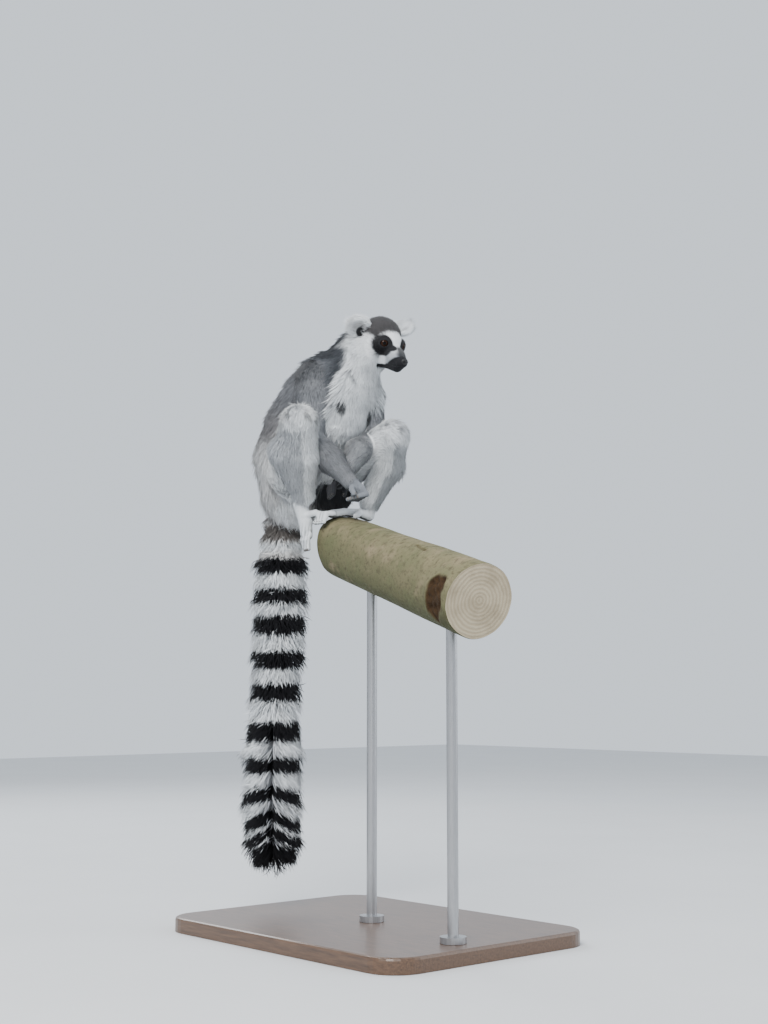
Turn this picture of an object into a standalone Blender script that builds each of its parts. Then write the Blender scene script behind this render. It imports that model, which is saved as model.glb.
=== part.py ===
"""Ring-tailed lemur squatting on the sawn end of a branch, on a display stand.

Metres, +Z up.  The origin is the centre of the base's underside and the lemur's
chest faces -Y, so its left side is at +X.  The surfaces are the outline of the
whole animal out to the tips of its coat.
"""
import math

import bmesh
import bpy
from mathutils import Matrix, Vector

# ---------------------------------------------------------------- driving sizes
GAP = 0.0004            # clearance between neighbouring solids
RAISE = 0.00045         # how far a neighbour is swollen before it is cut away
MERGE = 0.000001        # points closer than this are one

# display stand
BASE_X, BASE_Y, BASE_Z = 0.40, 0.54, 0.022
BASE_CORNER, BASE_EDGE = 0.05, 0.004
ROD_RADIUS = 0.008
COLLAR_RADIUS, COLLAR_HEIGHT = 0.019, 0.009
ROD_STATIONS = {"stand_rod_rear": 0.085, "stand_rod_front": 0.325}   # distance along the log
ROD_REACH = 0.55        # the rods end this share of the log's radius below its axis

# perch log: a cone from its sawn end under the feet, sloping down towards -Y
LOG_END = Vector((0.0195, 0.084, 0.6023))
LOG_AXIS = Vector((-0.195, -0.9436, -0.2676)).normalized()
LOG_LENGTH = 0.40
LOG_SQUARENESS = 0.5    # how far its section leaves a circle at that end
LOG_RADIUS_END, LOG_RADIUS_FAR = 0.0490, 0.0554
LOG_STATIONS = (-0.05, 0.0, 0.03, 0.06, 0.10, 0.16, LOG_LENGTH)
LOG_SIDES = 32
# swelling under the toes: angle from level, height, width in angle, length along the log
LUMP_ANGLE, LUMP_HEIGHT = math.radians(12), 0.008
LUMP_WIDTH, LUMP_LENGTH = math.radians(42), 0.060

# trunk: centre and radius of each section, rump to neck
SPINE = (
    ((-0.010, 0.180, 0.712), 0.064),     # rump
    ((-0.007, 0.183, 0.756), 0.067),     # loin
    ((-0.004, 0.164, 0.802), 0.066),     # waist
    ((0.003, 0.132, 0.842), 0.065),      # ribs
    ((0.010, 0.104, 0.870), 0.058),      # shoulders
    ((0.024, 0.078, 0.898), 0.044),      # base of the neck
    ((0.034, 0.070, 0.922), 0.037),      # throat
)
UNDERSIDE = (
    ((0.017, 0.080, 0.852), 0.047),      # chest
    ((0.008, 0.104, 0.812), 0.052),      # midriff
    ((0.005, 0.122, 0.768), 0.055),      # belly
)
RUMP_SEAT = ((-0.012, 0.186, 0.688), 0.042)
GROIN = ((0.028, 0.128, 0.692), 0.030)

# head frame: origin midway between the eyes
EYES_MID = Vector((0.0567, 0.014, 0.9302))
HEAD_YAW = math.radians(-3.0)            # turned slightly to its own right
HEAD_PITCH = math.radians(22.0)          # nose down
HEAD_ROLL = math.radians(0.5)
# its ellipsoids: place, radii (forward, left, up in the head's own axes)
SKULL = ((-0.0375, 0.0, 0.0070), (0.0370, 0.0345, 0.0332))
BROW = ((-0.008, 0.0, 0.003), (0.0180, 0.0225, 0.0175))
NAPE_RUFF = ((-0.050, 0.0, -0.014), (0.030, 0.040, 0.031))
CHEEK = ((-0.026, 0.0215, -0.014), (0.0240, 0.0175, 0.0215))
MUZZLE = (((-0.002, 0.0, -0.0105), 0.0175), ((0.015, 0.0, -0.0165), 0.0150),
          ((0.0325, 0.0, -0.0215), 0.0107))
JAW = (((-0.014, 0.0, -0.0250), 0.0155), ((0.0240, 0.0, -0.0310), 0.0096))
THROAT_TOP, THROAT_TOP_RADIUS = (-0.040, 0.0, -0.018), 0.034
EYE_RADIUS = 0.0088
EYE_PLACE = (-0.0038, 0.0170, 0.0004)    # forward, left, up
NOSE_PLACE, NOSE_RADII = (0.0392, 0.0, -0.0195), (0.0052, 0.0068, 0.0054)
EAR_RADII = (0.0210, 0.0090, 0.0250)     # half width, half thickness, half length
# each ear, forward, left and up: its place, the way from root to tip, the way its cup opens
EARS = {1: ((-0.0460, 0.0420, 0.0245), (-0.05, 0.85, 0.52), (-0.22, 0.50, -0.85)),
        -1: ((-0.0405, 0.0415, 0.0137), (-0.10, 0.95, 0.20), (0.72, 0.30, -0.10))}
EAR_CUP_SHARE = 0.74                     # cup's width and length over the ear's
EAR_CUP_DEPTH = 0.0062

# cuts that part the head, neck and trunk: point, way
NAPE_CUT = (0.032, 0.072, 0.924)
NAPE_CUT_AIM = (-0.030, 0.0, 0.0)        # in the head's axes; the nape cut faces it
SHOULDER_CUT, SHOULDER_WAY = Vector((0.019, 0.090, 0.885)), Vector((0.30, -0.45, 0.84))

# limbs: (x, y, z), radius, from root to tip
RIGHT_ARM = (((-0.034, 0.100, 0.874), 0.030), ((-0.044, 0.092, 0.850), 0.026),
             ((-0.052, 0.088, 0.772), 0.0215), ((-0.040, 0.056, 0.737), 0.0215),
             ((-0.029, 0.020, 0.6985), 0.0125))
RIGHT_PALM = (((-0.029, 0.020, 0.6985), 0.0120), ((-0.018, 0.010, 0.6855), 0.0110))
LEFT_ARM = (((0.056, 0.098, 0.878), 0.030), ((0.066, 0.084, 0.856), 0.026),
            ((0.062, 0.066, 0.783), 0.0190), ((0.009, 0.043, 0.755), 0.0205),
            ((-0.013, 0.049, 0.716), 0.0120))
LEFT_PALM = (((-0.013, 0.049, 0.716), 0.0115), ((-0.028, 0.051, 0.6990), 0.0105))

RIGHT_LEG = (((-0.036, 0.152, 0.722), 0.048), ((-0.099, 0.062, 0.789), 0.0300),
             ((-0.082, 0.076, 0.738), 0.0285), ((-0.061, 0.098, 0.685), 0.0200))
RIGHT_CALF = ((-0.098, 0.092, 0.747), 0.0310)
LEFT_LEG = (((0.029, 0.150, 0.722), 0.043), ((0.062, 0.023, 0.7805), 0.0285),
            ((0.071, 0.045, 0.738), 0.0290), ((0.0585, 0.071, 0.681), 0.0185))
LEFT_CALF = ((0.089, 0.070, 0.742), 0.0335)
RIGHT_SOLE = (((-0.062, 0.105, 0.668), 0.0125), ((-0.055, 0.100, 0.640), 0.0120),
              ((-0.053, 0.0985, 0.619), 0.0105))
LEFT_SOLE = (((0.0555, 0.074, 0.6560), 0.0105), ((0.036, 0.0745, 0.6585), 0.0080),
             ((0.006, 0.0765, 0.6578), 0.0074), ((-0.018, 0.0785, 0.6535), 0.0074))

# tail: centre and radius, root to tip
TAIL = (((-0.0110, 0.206, 0.688), 0.034), ((-0.0109, 0.214, 0.655), 0.034),
        ((-0.0120, 0.215, 0.625), 0.038), ((-0.0150, 0.214, 0.585), 0.047),
        ((-0.0182, 0.212, 0.522), 0.048), ((-0.0240, 0.210, 0.430), 0.0455),
        ((-0.0299, 0.208, 0.357), 0.0440), ((-0.0345, 0.206, 0.280), 0.0490),
        ((-0.0380, 0.203, 0.196), 0.0490), ((-0.0375, 0.201, 0.135), 0.0460),
        ((-0.0355, 0.200, 0.108), 0.0330))
TAIL_CUTS = (0.475, 0.275)               # heights of the two cuts across the tail

# digits: first and last root, first and last tip, and how far the knuckles stand out
DIGIT_COUNT, DIGIT_RADIUS = 4, 0.0050
RIGHT_TOES = ((-0.0555, 0.088, 0.618), (-0.0505, 0.108, 0.620),
              (-0.059, 0.086, 0.5955), (-0.049, 0.106, 0.5965), (-0.004, 0.0, 0.003))
LEFT_TOES = ((-0.022, 0.070, 0.6530), (-0.021, 0.088, 0.6540),
             (-0.040, 0.072, 0.6385), (-0.040, 0.092, 0.6390), (-0.004, 0.0, 0.006))
RIGHT_FINGERS = ((-0.018, 0.004, 0.6890), (-0.022, 0.019, 0.6790),
                 (-0.027, 0.005, 0.6735), (-0.032, 0.021, 0.6705), (0.010, -0.004, -0.003))
LEFT_FINGERS = ((-0.031, 0.043, 0.703), (-0.030, 0.059, 0.695),
                (-0.043, 0.044, 0.681), (-0.038, 0.060, 0.677), (-0.005, 0.0, 0.004))
RIGHT_HALLUX = (((-0.057, 0.094, 0.650), 0.0068), ((-0.042, 0.090, 0.654), 0.0062),
                ((-0.030, 0.085, 0.6465), 0.0055))
LEFT_HALLUX = (((0.030, 0.068, 0.6585), 0.0066), ((0.018, 0.054, 0.6545), 0.0060),
               ((0.004, 0.044, 0.6490), 0.0055))
RIGHT_THUMB = (((-0.027, 0.015, 0.694), 0.0055), ((-0.036, 0.008, 0.685), 0.0048),
               ((-0.036, 0.002, 0.677), 0.0042))
LEFT_THUMB = (((-0.021, 0.050, 0.701), 0.0055), ((-0.017, 0.047, 0.689), 0.0048),
              ((-0.021, 0.044, 0.681), 0.0042))
WRIST_SETBACK = 0.002                    # from the wrist to the cut above the hand

# grain of the fused shapes, and the triangles each is thinned to
TORSO_VOXEL, TAIL_VOXEL, LIMB_VOXEL, DIGIT_VOXEL = 0.0030, 0.0040, 0.0030, 0.0018
SMOOTHING, DIGIT_SMOOTHING = 3, 2
HEAD_TRIANGLES, TORSO_TRIANGLES, TAIL_TRIANGLES = 2100, 1050, 540
LEG_TRIANGLES, ARM_TRIANGLES, FOOT_TRIANGLES, HAND_TRIANGLES = 360, 260, 430, 310

# material: colour, roughness
FUR_GREY = ((0.30, 0.31, 0.33, 1.0), 0.9)
FUR_WHITE = ((0.75, 0.77, 0.78, 1.0), 0.9)
FUR_BLACK = ((0.03, 0.03, 0.035, 1.0), 0.9)
EYE_BROWN = ((0.10, 0.035, 0.012, 1.0), 0.1)
NOSE_BLACK = ((0.015, 0.015, 0.017, 1.0), 0.45)
BARK_OLIVE = ((0.27, 0.25, 0.16, 1.0), 0.85)
BASE_WOOD = ((0.10, 0.055, 0.03, 1.0), 0.5)
ROD_STEEL = ((0.32, 0.32, 0.33, 1.0), 0.35)


# ---------------------------------------------------------------- helpers
def clear_scene():
    for old in list(bpy.data.objects):
        bpy.data.objects.remove(old, do_unlink=True)


def make_collection(name):
    collection = bpy.data.collections.new(name)
    bpy.context.scene.collection.children.link(collection)
    return collection


def make_material(name, finish, metallic=0.0):
    colour, roughness = finish
    material = bpy.data.materials.new(name)
    material.use_nodes = True
    shader = material.node_tree.nodes["Principled BSDF"]
    shader.inputs["Base Color"].default_value = colour
    shader.inputs["Roughness"].default_value = roughness
    shader.inputs["Metallic"].default_value = metallic
    return material


def object_from(bm, name, collection):
    mesh = bpy.data.meshes.new(name)
    bm.to_mesh(mesh)
    bm.free()
    obj = bpy.data.objects.new(name, mesh)
    collection.objects.link(obj)
    return obj


def applied(obj):
    """The object's mesh with all its modifiers applied, as a new bmesh."""
    bpy.context.view_layer.update()
    graph = bpy.context.evaluated_depsgraph_get()
    mesh = bpy.data.meshes.new_from_object(obj.evaluated_get(graph))
    bm = bmesh.new()
    bm.from_mesh(mesh)
    bpy.data.meshes.remove(mesh)
    return bm


def add_ball(bm, centre, radii, frame=None):
    """A ball or, with three radii and an optional 3x3 frame, an ellipsoid."""
    if not hasattr(radii, "__len__"):
        radii = (radii, radii, radii)
    turn = frame.to_4x4() if frame else Matrix.Identity(4)
    place = Matrix.Translation(Vector(centre)) @ turn @ Matrix.Diagonal((*radii, 1.0))
    bmesh.ops.create_uvsphere(bm, u_segments=28, v_segments=18, radius=1.0, matrix=place)


def add_cone(bm, start, end, radius_start, radius_end):
    start, end = Vector(start), Vector(end)
    along = end - start
    turn = along.to_track_quat("Z", "Y").to_matrix().to_4x4()
    place = Matrix.Translation((start + end) / 2) @ turn
    bmesh.ops.create_cone(bm, cap_ends=True, segments=28, radius1=radius_start,
                          radius2=radius_end, depth=along.length, matrix=place)


def add_chain(bm, stations):
    """Balls joined by cones, one after the other."""
    for centre, radius in stations:
        add_ball(bm, centre, radius)
    for (start, radius_start), (end, radius_end) in zip(stations, stations[1:]):
        add_cone(bm, start, end, radius_start, radius_end)


def fused(bm, voxel, smoothing):
    """One smooth skin over all the overlapping shapes in bm, as a new bmesh."""
    obj = object_from(bm, "fuse", scratch)
    remesh = obj.modifiers.new("remesh", "REMESH")
    remesh.mode = "VOXEL"
    remesh.voxel_size = voxel
    smooth = obj.modifiers.new("smooth", "SMOOTH")
    smooth.factor = 0.5
    smooth.iterations = smoothing
    result = applied(obj)
    bpy.data.objects.remove(obj, do_unlink=True)
    return result


def thinned(bm, triangles):
    """A copy of bm, reduced to about the given number of triangles."""
    obj = object_from(bm.copy(), "thin", scratch)
    obj.data.calc_loop_triangles()
    decimate = obj.modifiers.new("decimate", "DECIMATE")
    decimate.ratio = min(1.0, triangles / len(obj.data.loop_triangles))
    decimate.use_collapse_triangulate = True
    result = applied(obj)
    bpy.data.objects.remove(obj, do_unlink=True)
    return result


def sliced(bm, point, normal):
    """Keep what lies on the normal's side of a plane, less half the gap."""
    normal = Vector(normal).normalized()
    bmesh.ops.bisect_plane(bm, geom=bm.verts[:] + bm.edges[:] + bm.faces[:], dist=1e-6,
                           plane_co=Vector(point) + normal * GAP / 2, plane_no=normal,
                           clear_inner=True)
    rim = [edge for edge in bm.edges if edge.is_boundary]
    bmesh.ops.contextual_create(bm, geom=rim)
    loose = [edge for edge in bm.edges if edge.is_boundary]
    if loose:
        bmesh.ops.holes_fill(bm, edges=loose, sides=0)
    bmesh.ops.triangulate(bm, faces=[face for face in bm.faces if len(face.verts) > 3])
    return bm


def swollen(obj, amount=RAISE):
    """A cutter: a copy of the object with its surface moved out a little."""
    bm = applied(obj)
    bm.normal_update()
    moves = [(vert, vert.normal * amount) for vert in bm.verts]
    for vert, move in moves:
        vert.co += move
    return object_from(bm, "cutter", scratch)


def largest_body(bm):
    """Drop all but the biggest connected body."""
    left = set(bm.faces)
    bodies = []
    while left:
        seed = left.pop()
        body, front = {seed}, [seed]
        while front:
            face = front.pop()
            for edge in face.edges:
                for other in edge.link_faces:
                    if other in left:
                        left.discard(other)
                        body.add(other)
                        front.append(other)
        bodies.append(body)
    keep = max(bodies, key=len, default=None)
    drop = [face for body in bodies if body is not keep for face in body]
    bmesh.ops.delete(bm, geom=drop, context="FACES")


def span(bm):
    """Lowest and highest corners of the mesh."""
    return [[pick(vert.co[axis] for vert in bm.verts) for axis in range(3)] for pick in (min, max)]


def apart(bm, other):
    (low, high), (other_low, other_high) = span(bm), span(other)
    return any(high[axis] < other_low[axis] or other_high[axis] < low[axis] for axis in range(3))


def less(bm, cutter, solver):
    """bm less the cutter object, as a new bmesh of one body."""
    obj = object_from(bm.copy(), "cut", scratch)
    boolean = obj.modifiers.new("less", "BOOLEAN")
    boolean.operation = "DIFFERENCE"
    boolean.solver = solver
    boolean.object = cutter
    result = applied(obj)
    bpy.data.objects.remove(obj, do_unlink=True)
    bmesh.ops.remove_doubles(result, verts=result.verts, dist=MERGE)
    bmesh.ops.dissolve_degenerate(result, edges=result.edges, dist=MERGE)
    largest_body(result)
    bmesh.ops.triangulate(result, faces=result.faces)
    return result


def sound(bm, volume_before):
    """True for one closed body that hasn't grown or all but vanished."""
    closed = all(len(edge.link_faces) == 2 for edge in bm.edges)
    return bool(bm.faces) and closed and 0.1 < bm.calc_volume() / volume_before < 1.001


def cut_by(bm, neighbours):
    """bm less its swollen neighbours."""
    for neighbour in neighbours:
        cutter = swollen(neighbour)
        other = applied(cutter)
        clear = apart(bm, other)
        other.free()
        if not clear:
            bmesh.ops.recalc_face_normals(bm, faces=bm.faces)
            volume = bm.calc_volume()
            for solver in ("EXACT", "MANIFOLD"):
                result = less(bm, cutter, solver)
                if sound(result, volume):
                    break
            bm = result
        bpy.data.objects.remove(cutter, do_unlink=True)
    return bm


def finish(bm, name, material):
    """The named part itself, smooth and with its one material."""
    bmesh.ops.recalc_face_normals(bm, faces=bm.faces)
    obj = object_from(bm, name, model)
    obj.data.materials.append(material)
    obj.data.shade_smooth()
    obj.data.set_sharp_from_angle(angle=math.radians(40))
    return obj


# ---------------------------------------------------------------- head frame
def head_axes():
    forward = Vector((math.sin(HEAD_YAW) * math.cos(HEAD_PITCH),
                      -math.cos(HEAD_YAW) * math.cos(HEAD_PITCH), -math.sin(HEAD_PITCH)))
    left = Vector((math.cos(HEAD_YAW), math.sin(HEAD_YAW), 0.0))
    up = forward.cross(left) * -1.0
    if up.z < 0:
        up.negate()
    roll = Matrix.Rotation(-HEAD_ROLL, 3, forward)
    return forward, roll @ left, roll @ up


def in_head(place, side=1):
    forward, left, up = head_axes()
    return EYES_MID + forward * place[0] + left * place[1] * side + up * place[2]


def head_way(way, side):
    """A direction given in the head's axes, mirrored for the right side."""
    forward, left, up = head_axes()
    return (forward * way[0] + left * way[1] * side + up * way[2]).normalized()


def head_frame():
    """Columns are the head's forward, left and up axes."""
    return Matrix(head_axes()).transposed()


# ---------------------------------------------------------------- the animal
def torso_and_head():
    """One shape from rump to muzzle, before it is parted."""
    bm = bmesh.new()
    add_chain(bm, SPINE)
    add_chain(bm, UNDERSIDE)
    for centre, radius in (RUMP_SEAT, GROIN):
        add_ball(bm, centre, radius)
    frame = head_frame()
    for place, radii in (SKULL, BROW, NAPE_RUFF):
        add_ball(bm, in_head(place), radii, frame)
    for side in (1, -1):
        add_ball(bm, in_head(CHEEK[0], side), CHEEK[1], frame)
    for chain in (MUZZLE, JAW):
        add_chain(bm, [(in_head(place), radius) for place, radius in chain])
    throat, throat_radius = SPINE[-1]
    add_cone(bm, throat, in_head(THROAT_TOP), throat_radius, THROAT_TOP_RADIUS)
    return fused(bm, TORSO_VOXEL, SMOOTHING)


def build_torso_and_head(materials):
    whole = torso_and_head()
    nape_way = in_head(NAPE_CUT_AIM) - Vector(NAPE_CUT)

    eyes = []
    for side, name in ((1, "eye_left"), (-1, "eye_right")):
        bm = bmesh.new()
        place = Matrix.Translation(in_head(EYE_PLACE, side))
        bmesh.ops.create_icosphere(bm, subdivisions=2, radius=EYE_RADIUS, matrix=place)
        eyes.append(finish(bm, name, materials["eye"]))
    bm = bmesh.new()
    bmesh.ops.create_uvsphere(bm, u_segments=10, v_segments=7, radius=1.0,
                              matrix=Matrix.Translation(in_head(NOSE_PLACE)) @ head_frame().to_4x4()
                              @ Matrix.Diagonal((*NOSE_RADII, 1.0)))
    nose = finish(bm, "nose", materials["nose"])

    head = sliced(thinned(whole, HEAD_TRIANGLES), NAPE_CUT, nape_way)
    head = finish(cut_by(head, eyes + [nose]), "head", materials["white"])
    neck = sliced(thinned(whole, TORSO_TRIANGLES), NAPE_CUT, -nape_way)
    neck = finish(sliced(neck, SHOULDER_CUT, SHOULDER_WAY), "neck", materials["white"])
    trunk = sliced(thinned(whole, TORSO_TRIANGLES), SHOULDER_CUT, -SHOULDER_WAY)
    trunk = finish(trunk, "trunk", materials["grey"])
    whole.free()
    return head, neck, trunk


def build_ears(head, neck, trunk, materials):
    """Two cupped ears, opening forwards and outwards."""
    for side, name in ((1, "ear_left"), (-1, "ear_right")):
        place, length_way, facing_way = EARS[side]
        length = head_way(length_way, side)
        facing = head_way(facing_way, side)
        facing = (facing - length * facing.dot(length)).normalized()
        width = facing.cross(length)
        frame = Matrix((width, facing, length)).transposed()
        centre = in_head(place, side)
        bm = bmesh.new()
        bmesh.ops.create_uvsphere(bm, u_segments=14, v_segments=9, radius=1.0,
                                  matrix=Matrix.Translation(centre) @ frame.to_4x4()
                                  @ Matrix.Diagonal((*EAR_RADII, 1.0)))
        cup = bmesh.new()
        cup_radii = Vector(EAR_RADII) * EAR_CUP_SHARE
        cup_radii.y = EAR_CUP_DEPTH
        bmesh.ops.create_uvsphere(cup, u_segments=10, v_segments=7, radius=1.0,
                                  matrix=Matrix.Translation(centre + facing * EAR_CUP_DEPTH) @ frame.to_4x4()
                                  @ Matrix.Diagonal((*cup_radii, 1.0)))
        hollow = object_from(cup, "cup", scratch)
        bm = cut_by(bm, [hollow])
        bpy.data.objects.remove(hollow, do_unlink=True)
        bm = cut_by(bm, [head, neck, trunk])
        finish(bm, name, materials["white"])


def build_tail(neighbours, materials):
    bm = bmesh.new()
    add_chain(bm, TAIL)
    whole = fused(bm, TAIL_VOXEL, SMOOTHING)
    upper_cut, lower_cut = TAIL_CUTS
    lengths = (("tail_upper", ((upper_cut, 1),)), ("tail_middle", ((upper_cut, -1), (lower_cut, 1))),
               ("tail_lower", ((lower_cut, -1),)))
    pieces = []
    for name, cuts in lengths:
        piece = thinned(whole, TAIL_TRIANGLES)
        for height, way in cuts:
            piece = sliced(piece, (0, 0, height), (0, 0, way))
        if name == "tail_upper":
            piece = cut_by(piece, neighbours)
        pieces.append(finish(piece, name, materials["black"]))
    whole.free()
    return pieces


def part_limb(whole, triangles, joint):
    """The two halves of a limb, cut at its joint's plane."""
    point, way = joint
    upper = sliced(thinned(whole, triangles), point, -way)
    lower = sliced(thinned(whole, triangles), point, way)
    whole.free()
    return upper, lower


def bisector(before, at, after):
    """The plane through a joint that halves the angle of its two bones."""
    before, at, after = Vector(before), Vector(at), Vector(after)
    way = (after - at).normalized() + (at - before).normalized()
    return at, way.normalized()


def add_digits(bm, digits):
    """Fingers or toes: two short lengths each, bent out at the knuckle."""
    first_root, last_root, first_tip, last_tip, curl = digits
    roots = spread(first_root, last_root, DIGIT_COUNT)
    tips = spread(first_tip, last_tip, DIGIT_COUNT)
    for root, tip in zip(roots, tips):
        knuckle = (root + tip) / 2 + Vector(curl)
        add_chain(bm, ((root, DIGIT_RADIUS * 1.1), (knuckle, DIGIT_RADIUS), (tip, DIGIT_RADIUS * 0.85)))


def spread(start, end, count):
    """Evenly spaced points from start to end."""
    start, end = Vector(start), Vector(end)
    return [start.lerp(end, step / (count - 1)) for step in range(count)]


def build_leg(side, leg, calf, sole, toes, hallux, obstacles, materials):
    bm = bmesh.new()
    add_chain(bm, leg)
    add_ball(bm, *calf)
    hip, knee, middle, ankle = (Vector(station[0]) for station in leg)
    add_cone(bm, knee, calf[0], leg[1][1] * 0.9, calf[1] * 0.98)
    add_cone(bm, calf[0], ankle, calf[1] * 0.95, leg[3][1] * 0.9)
    thigh, shin = part_limb(fused(bm, LIMB_VOXEL, SMOOTHING), LEG_TRIANGLES, bisector(hip, knee, middle))

    bm = bmesh.new()
    add_chain(bm, sole)
    add_chain(bm, ((ankle, leg[3][1] * 0.85), sole[0]))
    add_digits(bm, toes)
    add_chain(bm, hallux)
    foot = thinned(fused(bm, DIGIT_VOXEL, DIGIT_SMOOTHING), FOOT_TRIANGLES)
    way = Vector(sole[0][0]) - middle
    foot = sliced(foot, ankle, way)
    shin = sliced(shin, ankle, -way)

    thigh = finish(cut_by(thigh, obstacles), "thigh_" + side, materials["grey"])
    shin = finish(cut_by(shin, obstacles), "shin_" + side, materials["grey"])
    foot = finish(cut_by(foot, obstacles), "foot_" + side, materials["white"])
    return thigh, shin, foot


def build_arm(side, arm, palm, fingers, thumb, obstacles, materials):
    bm = bmesh.new()
    add_chain(bm, arm)
    shoulder, elbow, middle, wrist = (Vector(arm[index][0]) for index in (1, 2, 3, 4))
    upper, fore = part_limb(fused(bm, LIMB_VOXEL, SMOOTHING), ARM_TRIANGLES,
                            bisector(shoulder, elbow, middle))

    bm = bmesh.new()
    add_chain(bm, palm)
    add_digits(bm, fingers)
    add_chain(bm, thumb)
    hand = thinned(fused(bm, DIGIT_VOXEL, DIGIT_SMOOTHING), HAND_TRIANGLES)
    way = (Vector(palm[1][0]) - wrist).normalized()
    cut = wrist + way * WRIST_SETBACK
    hand = sliced(hand, cut, way)
    fore = sliced(fore, cut, -way)

    upper = finish(cut_by(upper, obstacles), "upper_arm_" + side, materials["grey"])
    fore = finish(cut_by(fore, obstacles), "forearm_" + side, materials["grey"])
    hand = finish(cut_by(hand, obstacles), "hand_" + side, materials["white"])
    return upper, fore, hand


# ---------------------------------------------------------------- perch and stand
def log_point(distance):
    return LOG_END + LOG_AXIS * distance


def log_radius(distance):
    return LOG_RADIUS_END + (LOG_RADIUS_FAR - LOG_RADIUS_END) * distance / LOG_LENGTH


def log_section(distance, angle):
    """Radius of the section at a distance along the log and an angle from level."""
    power = 2.0 + LOG_SQUARENESS * max(0.0, 1.0 - max(distance, 0.0) / LOG_LENGTH)
    reach = (abs(math.cos(angle)) ** power + abs(math.sin(angle)) ** power) ** (-1.0 / power)
    lump = math.exp(-((angle - LUMP_ANGLE) / LUMP_WIDTH) ** 2 - (max(distance, 0.0) / LUMP_LENGTH) ** 2)
    return log_radius(distance) * reach + LUMP_HEIGHT * lump


def build_log(materials):
    level = LOG_AXIS.cross(Vector((0, 0, 1))).normalized()
    upright = level.cross(LOG_AXIS)
    bm = bmesh.new()
    rings = []
    for distance in LOG_STATIONS:
        ring = []
        for index in range(LOG_SIDES):
            angle = math.tau * index / LOG_SIDES - math.pi / 2
            way = level * math.cos(angle) + upright * math.sin(angle)
            ring.append(bm.verts.new(log_point(distance) + way * log_section(distance, angle)))
        rings.append(ring)
    for ring, following in zip(rings, rings[1:]):
        for index in range(LOG_SIDES):
            other = (index + 1) % LOG_SIDES
            bm.faces.new((ring[index], ring[other], following[other], following[index]))
    bm.faces.new(rings[0])
    bm.faces.new(rings[-1])
    bmesh.ops.recalc_face_normals(bm, faces=bm.faces)
    plumb = Vector((LOG_AXIS.x, LOG_AXIS.y, 0.0))
    return finish(sliced(bm, LOG_END, plumb), "perch_log", materials["bark"])


def rod_shape(foot, low, high, radius):
    """An upright round bar through the given point, between two heights."""
    bm = bmesh.new()
    place = Matrix.Translation((foot.x, foot.y, (low + high) / 2))
    bmesh.ops.create_cone(bm, cap_ends=True, segments=20, radius1=radius, radius2=radius,
                          depth=high - low, matrix=place)
    return bm


def build_stand(log, materials):
    bm = bmesh.new()
    bmesh.ops.create_cube(bm, size=1.0, matrix=Matrix.Translation((0, 0, BASE_Z / 2))
                          @ Matrix.Diagonal((BASE_X, BASE_Y, BASE_Z, 1.0)))
    upright = [edge for edge in bm.edges if abs(edge.verts[0].co.z - edge.verts[1].co.z) > BASE_Z / 2]
    bmesh.ops.bevel(bm, geom=upright, offset=BASE_CORNER, segments=8, profile=0.5, affect="EDGES")
    rim = [edge for edge in bm.edges if all(vert.co.z > BASE_Z - 1e-5 for vert in edge.verts)
           and any(abs(face.normal.z) < 0.5 for face in edge.link_faces)]
    bmesh.ops.bevel(bm, geom=rim, offset=BASE_EDGE, segments=2, profile=0.5, affect="EDGES")
    finish(bm, "stand_base", materials["base"])

    floor = BASE_Z + GAP
    for name, distance in ROD_STATIONS.items():
        foot = log_point(distance)
        top = foot.z - log_radius(distance) * ROD_REACH
        rod = object_from(rod_shape(foot, floor, top, ROD_RADIUS), "rod", scratch)
        collar = object_from(rod_shape(foot, floor, floor + COLLAR_HEIGHT, COLLAR_RADIUS), "collar", scratch)
        union = rod.modifiers.new("join", "BOOLEAN")
        union.operation = "UNION"
        union.solver = "EXACT"
        union.object = collar
        bm = applied(rod)
        for used in (rod, collar):
            bpy.data.objects.remove(used, do_unlink=True)
        finish(cut_by(bm, [log]), name, materials["rod"])


# ---------------------------------------------------------------- assembly
def build():
    materials = {
        "grey": make_material("coat_grey", FUR_GREY), "white": make_material("coat_white", FUR_WHITE),
        "black": make_material("coat_black", FUR_BLACK), "eye": make_material("eye_brown", EYE_BROWN),
        "nose": make_material("nose_black", NOSE_BLACK), "bark": make_material("bark", BARK_OLIVE),
        "base": make_material("base_wood", BASE_WOOD), "rod": make_material("rod_steel", ROD_STEEL, 1.0),
    }
    log = build_log(materials)
    build_stand(log, materials)
    head, neck, trunk = build_torso_and_head(materials)
    build_ears(head, neck, trunk, materials)

    right_leg = build_leg("right", RIGHT_LEG, RIGHT_CALF, RIGHT_SOLE, RIGHT_TOES, RIGHT_HALLUX,
                          [trunk, log], materials)
    left_leg = build_leg("left", LEFT_LEG, LEFT_CALF, LEFT_SOLE, LEFT_TOES, LEFT_HALLUX,
                         [trunk, log, right_leg[2]], materials)

    legs = list(right_leg) + list(left_leg)
    right_arm = build_arm("right", RIGHT_ARM, RIGHT_PALM, RIGHT_FINGERS, RIGHT_THUMB,
                          [trunk, neck, head] + legs, materials)
    build_arm("left", LEFT_ARM, LEFT_PALM, LEFT_FINGERS, LEFT_THUMB,
              [trunk, neck, head] + legs + list(right_arm), materials)
    build_tail([trunk] + legs, materials)


clear_scene()
model = make_collection("ring_tailed_lemur")
scratch = make_collection("scratch_shapes")
build()
bpy.context.scene.collection.children.unlink(scratch)
bpy.data.collections.remove(scratch)
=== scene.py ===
"""Looks of the ring-tailed lemur that squats on the sawn end of a branch, on a display stand.

One skin is drawn as the zero surface of a distance field made from balls, cones and ellipsoids.
The coat is solid tufts rooted in that skin.  Metres, +Z up; the lemur's chest faces -Y.
"""

import math

import bmesh
import bpy
import numpy as np
import openvdb
from mathutils import Matrix, Vector


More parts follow.
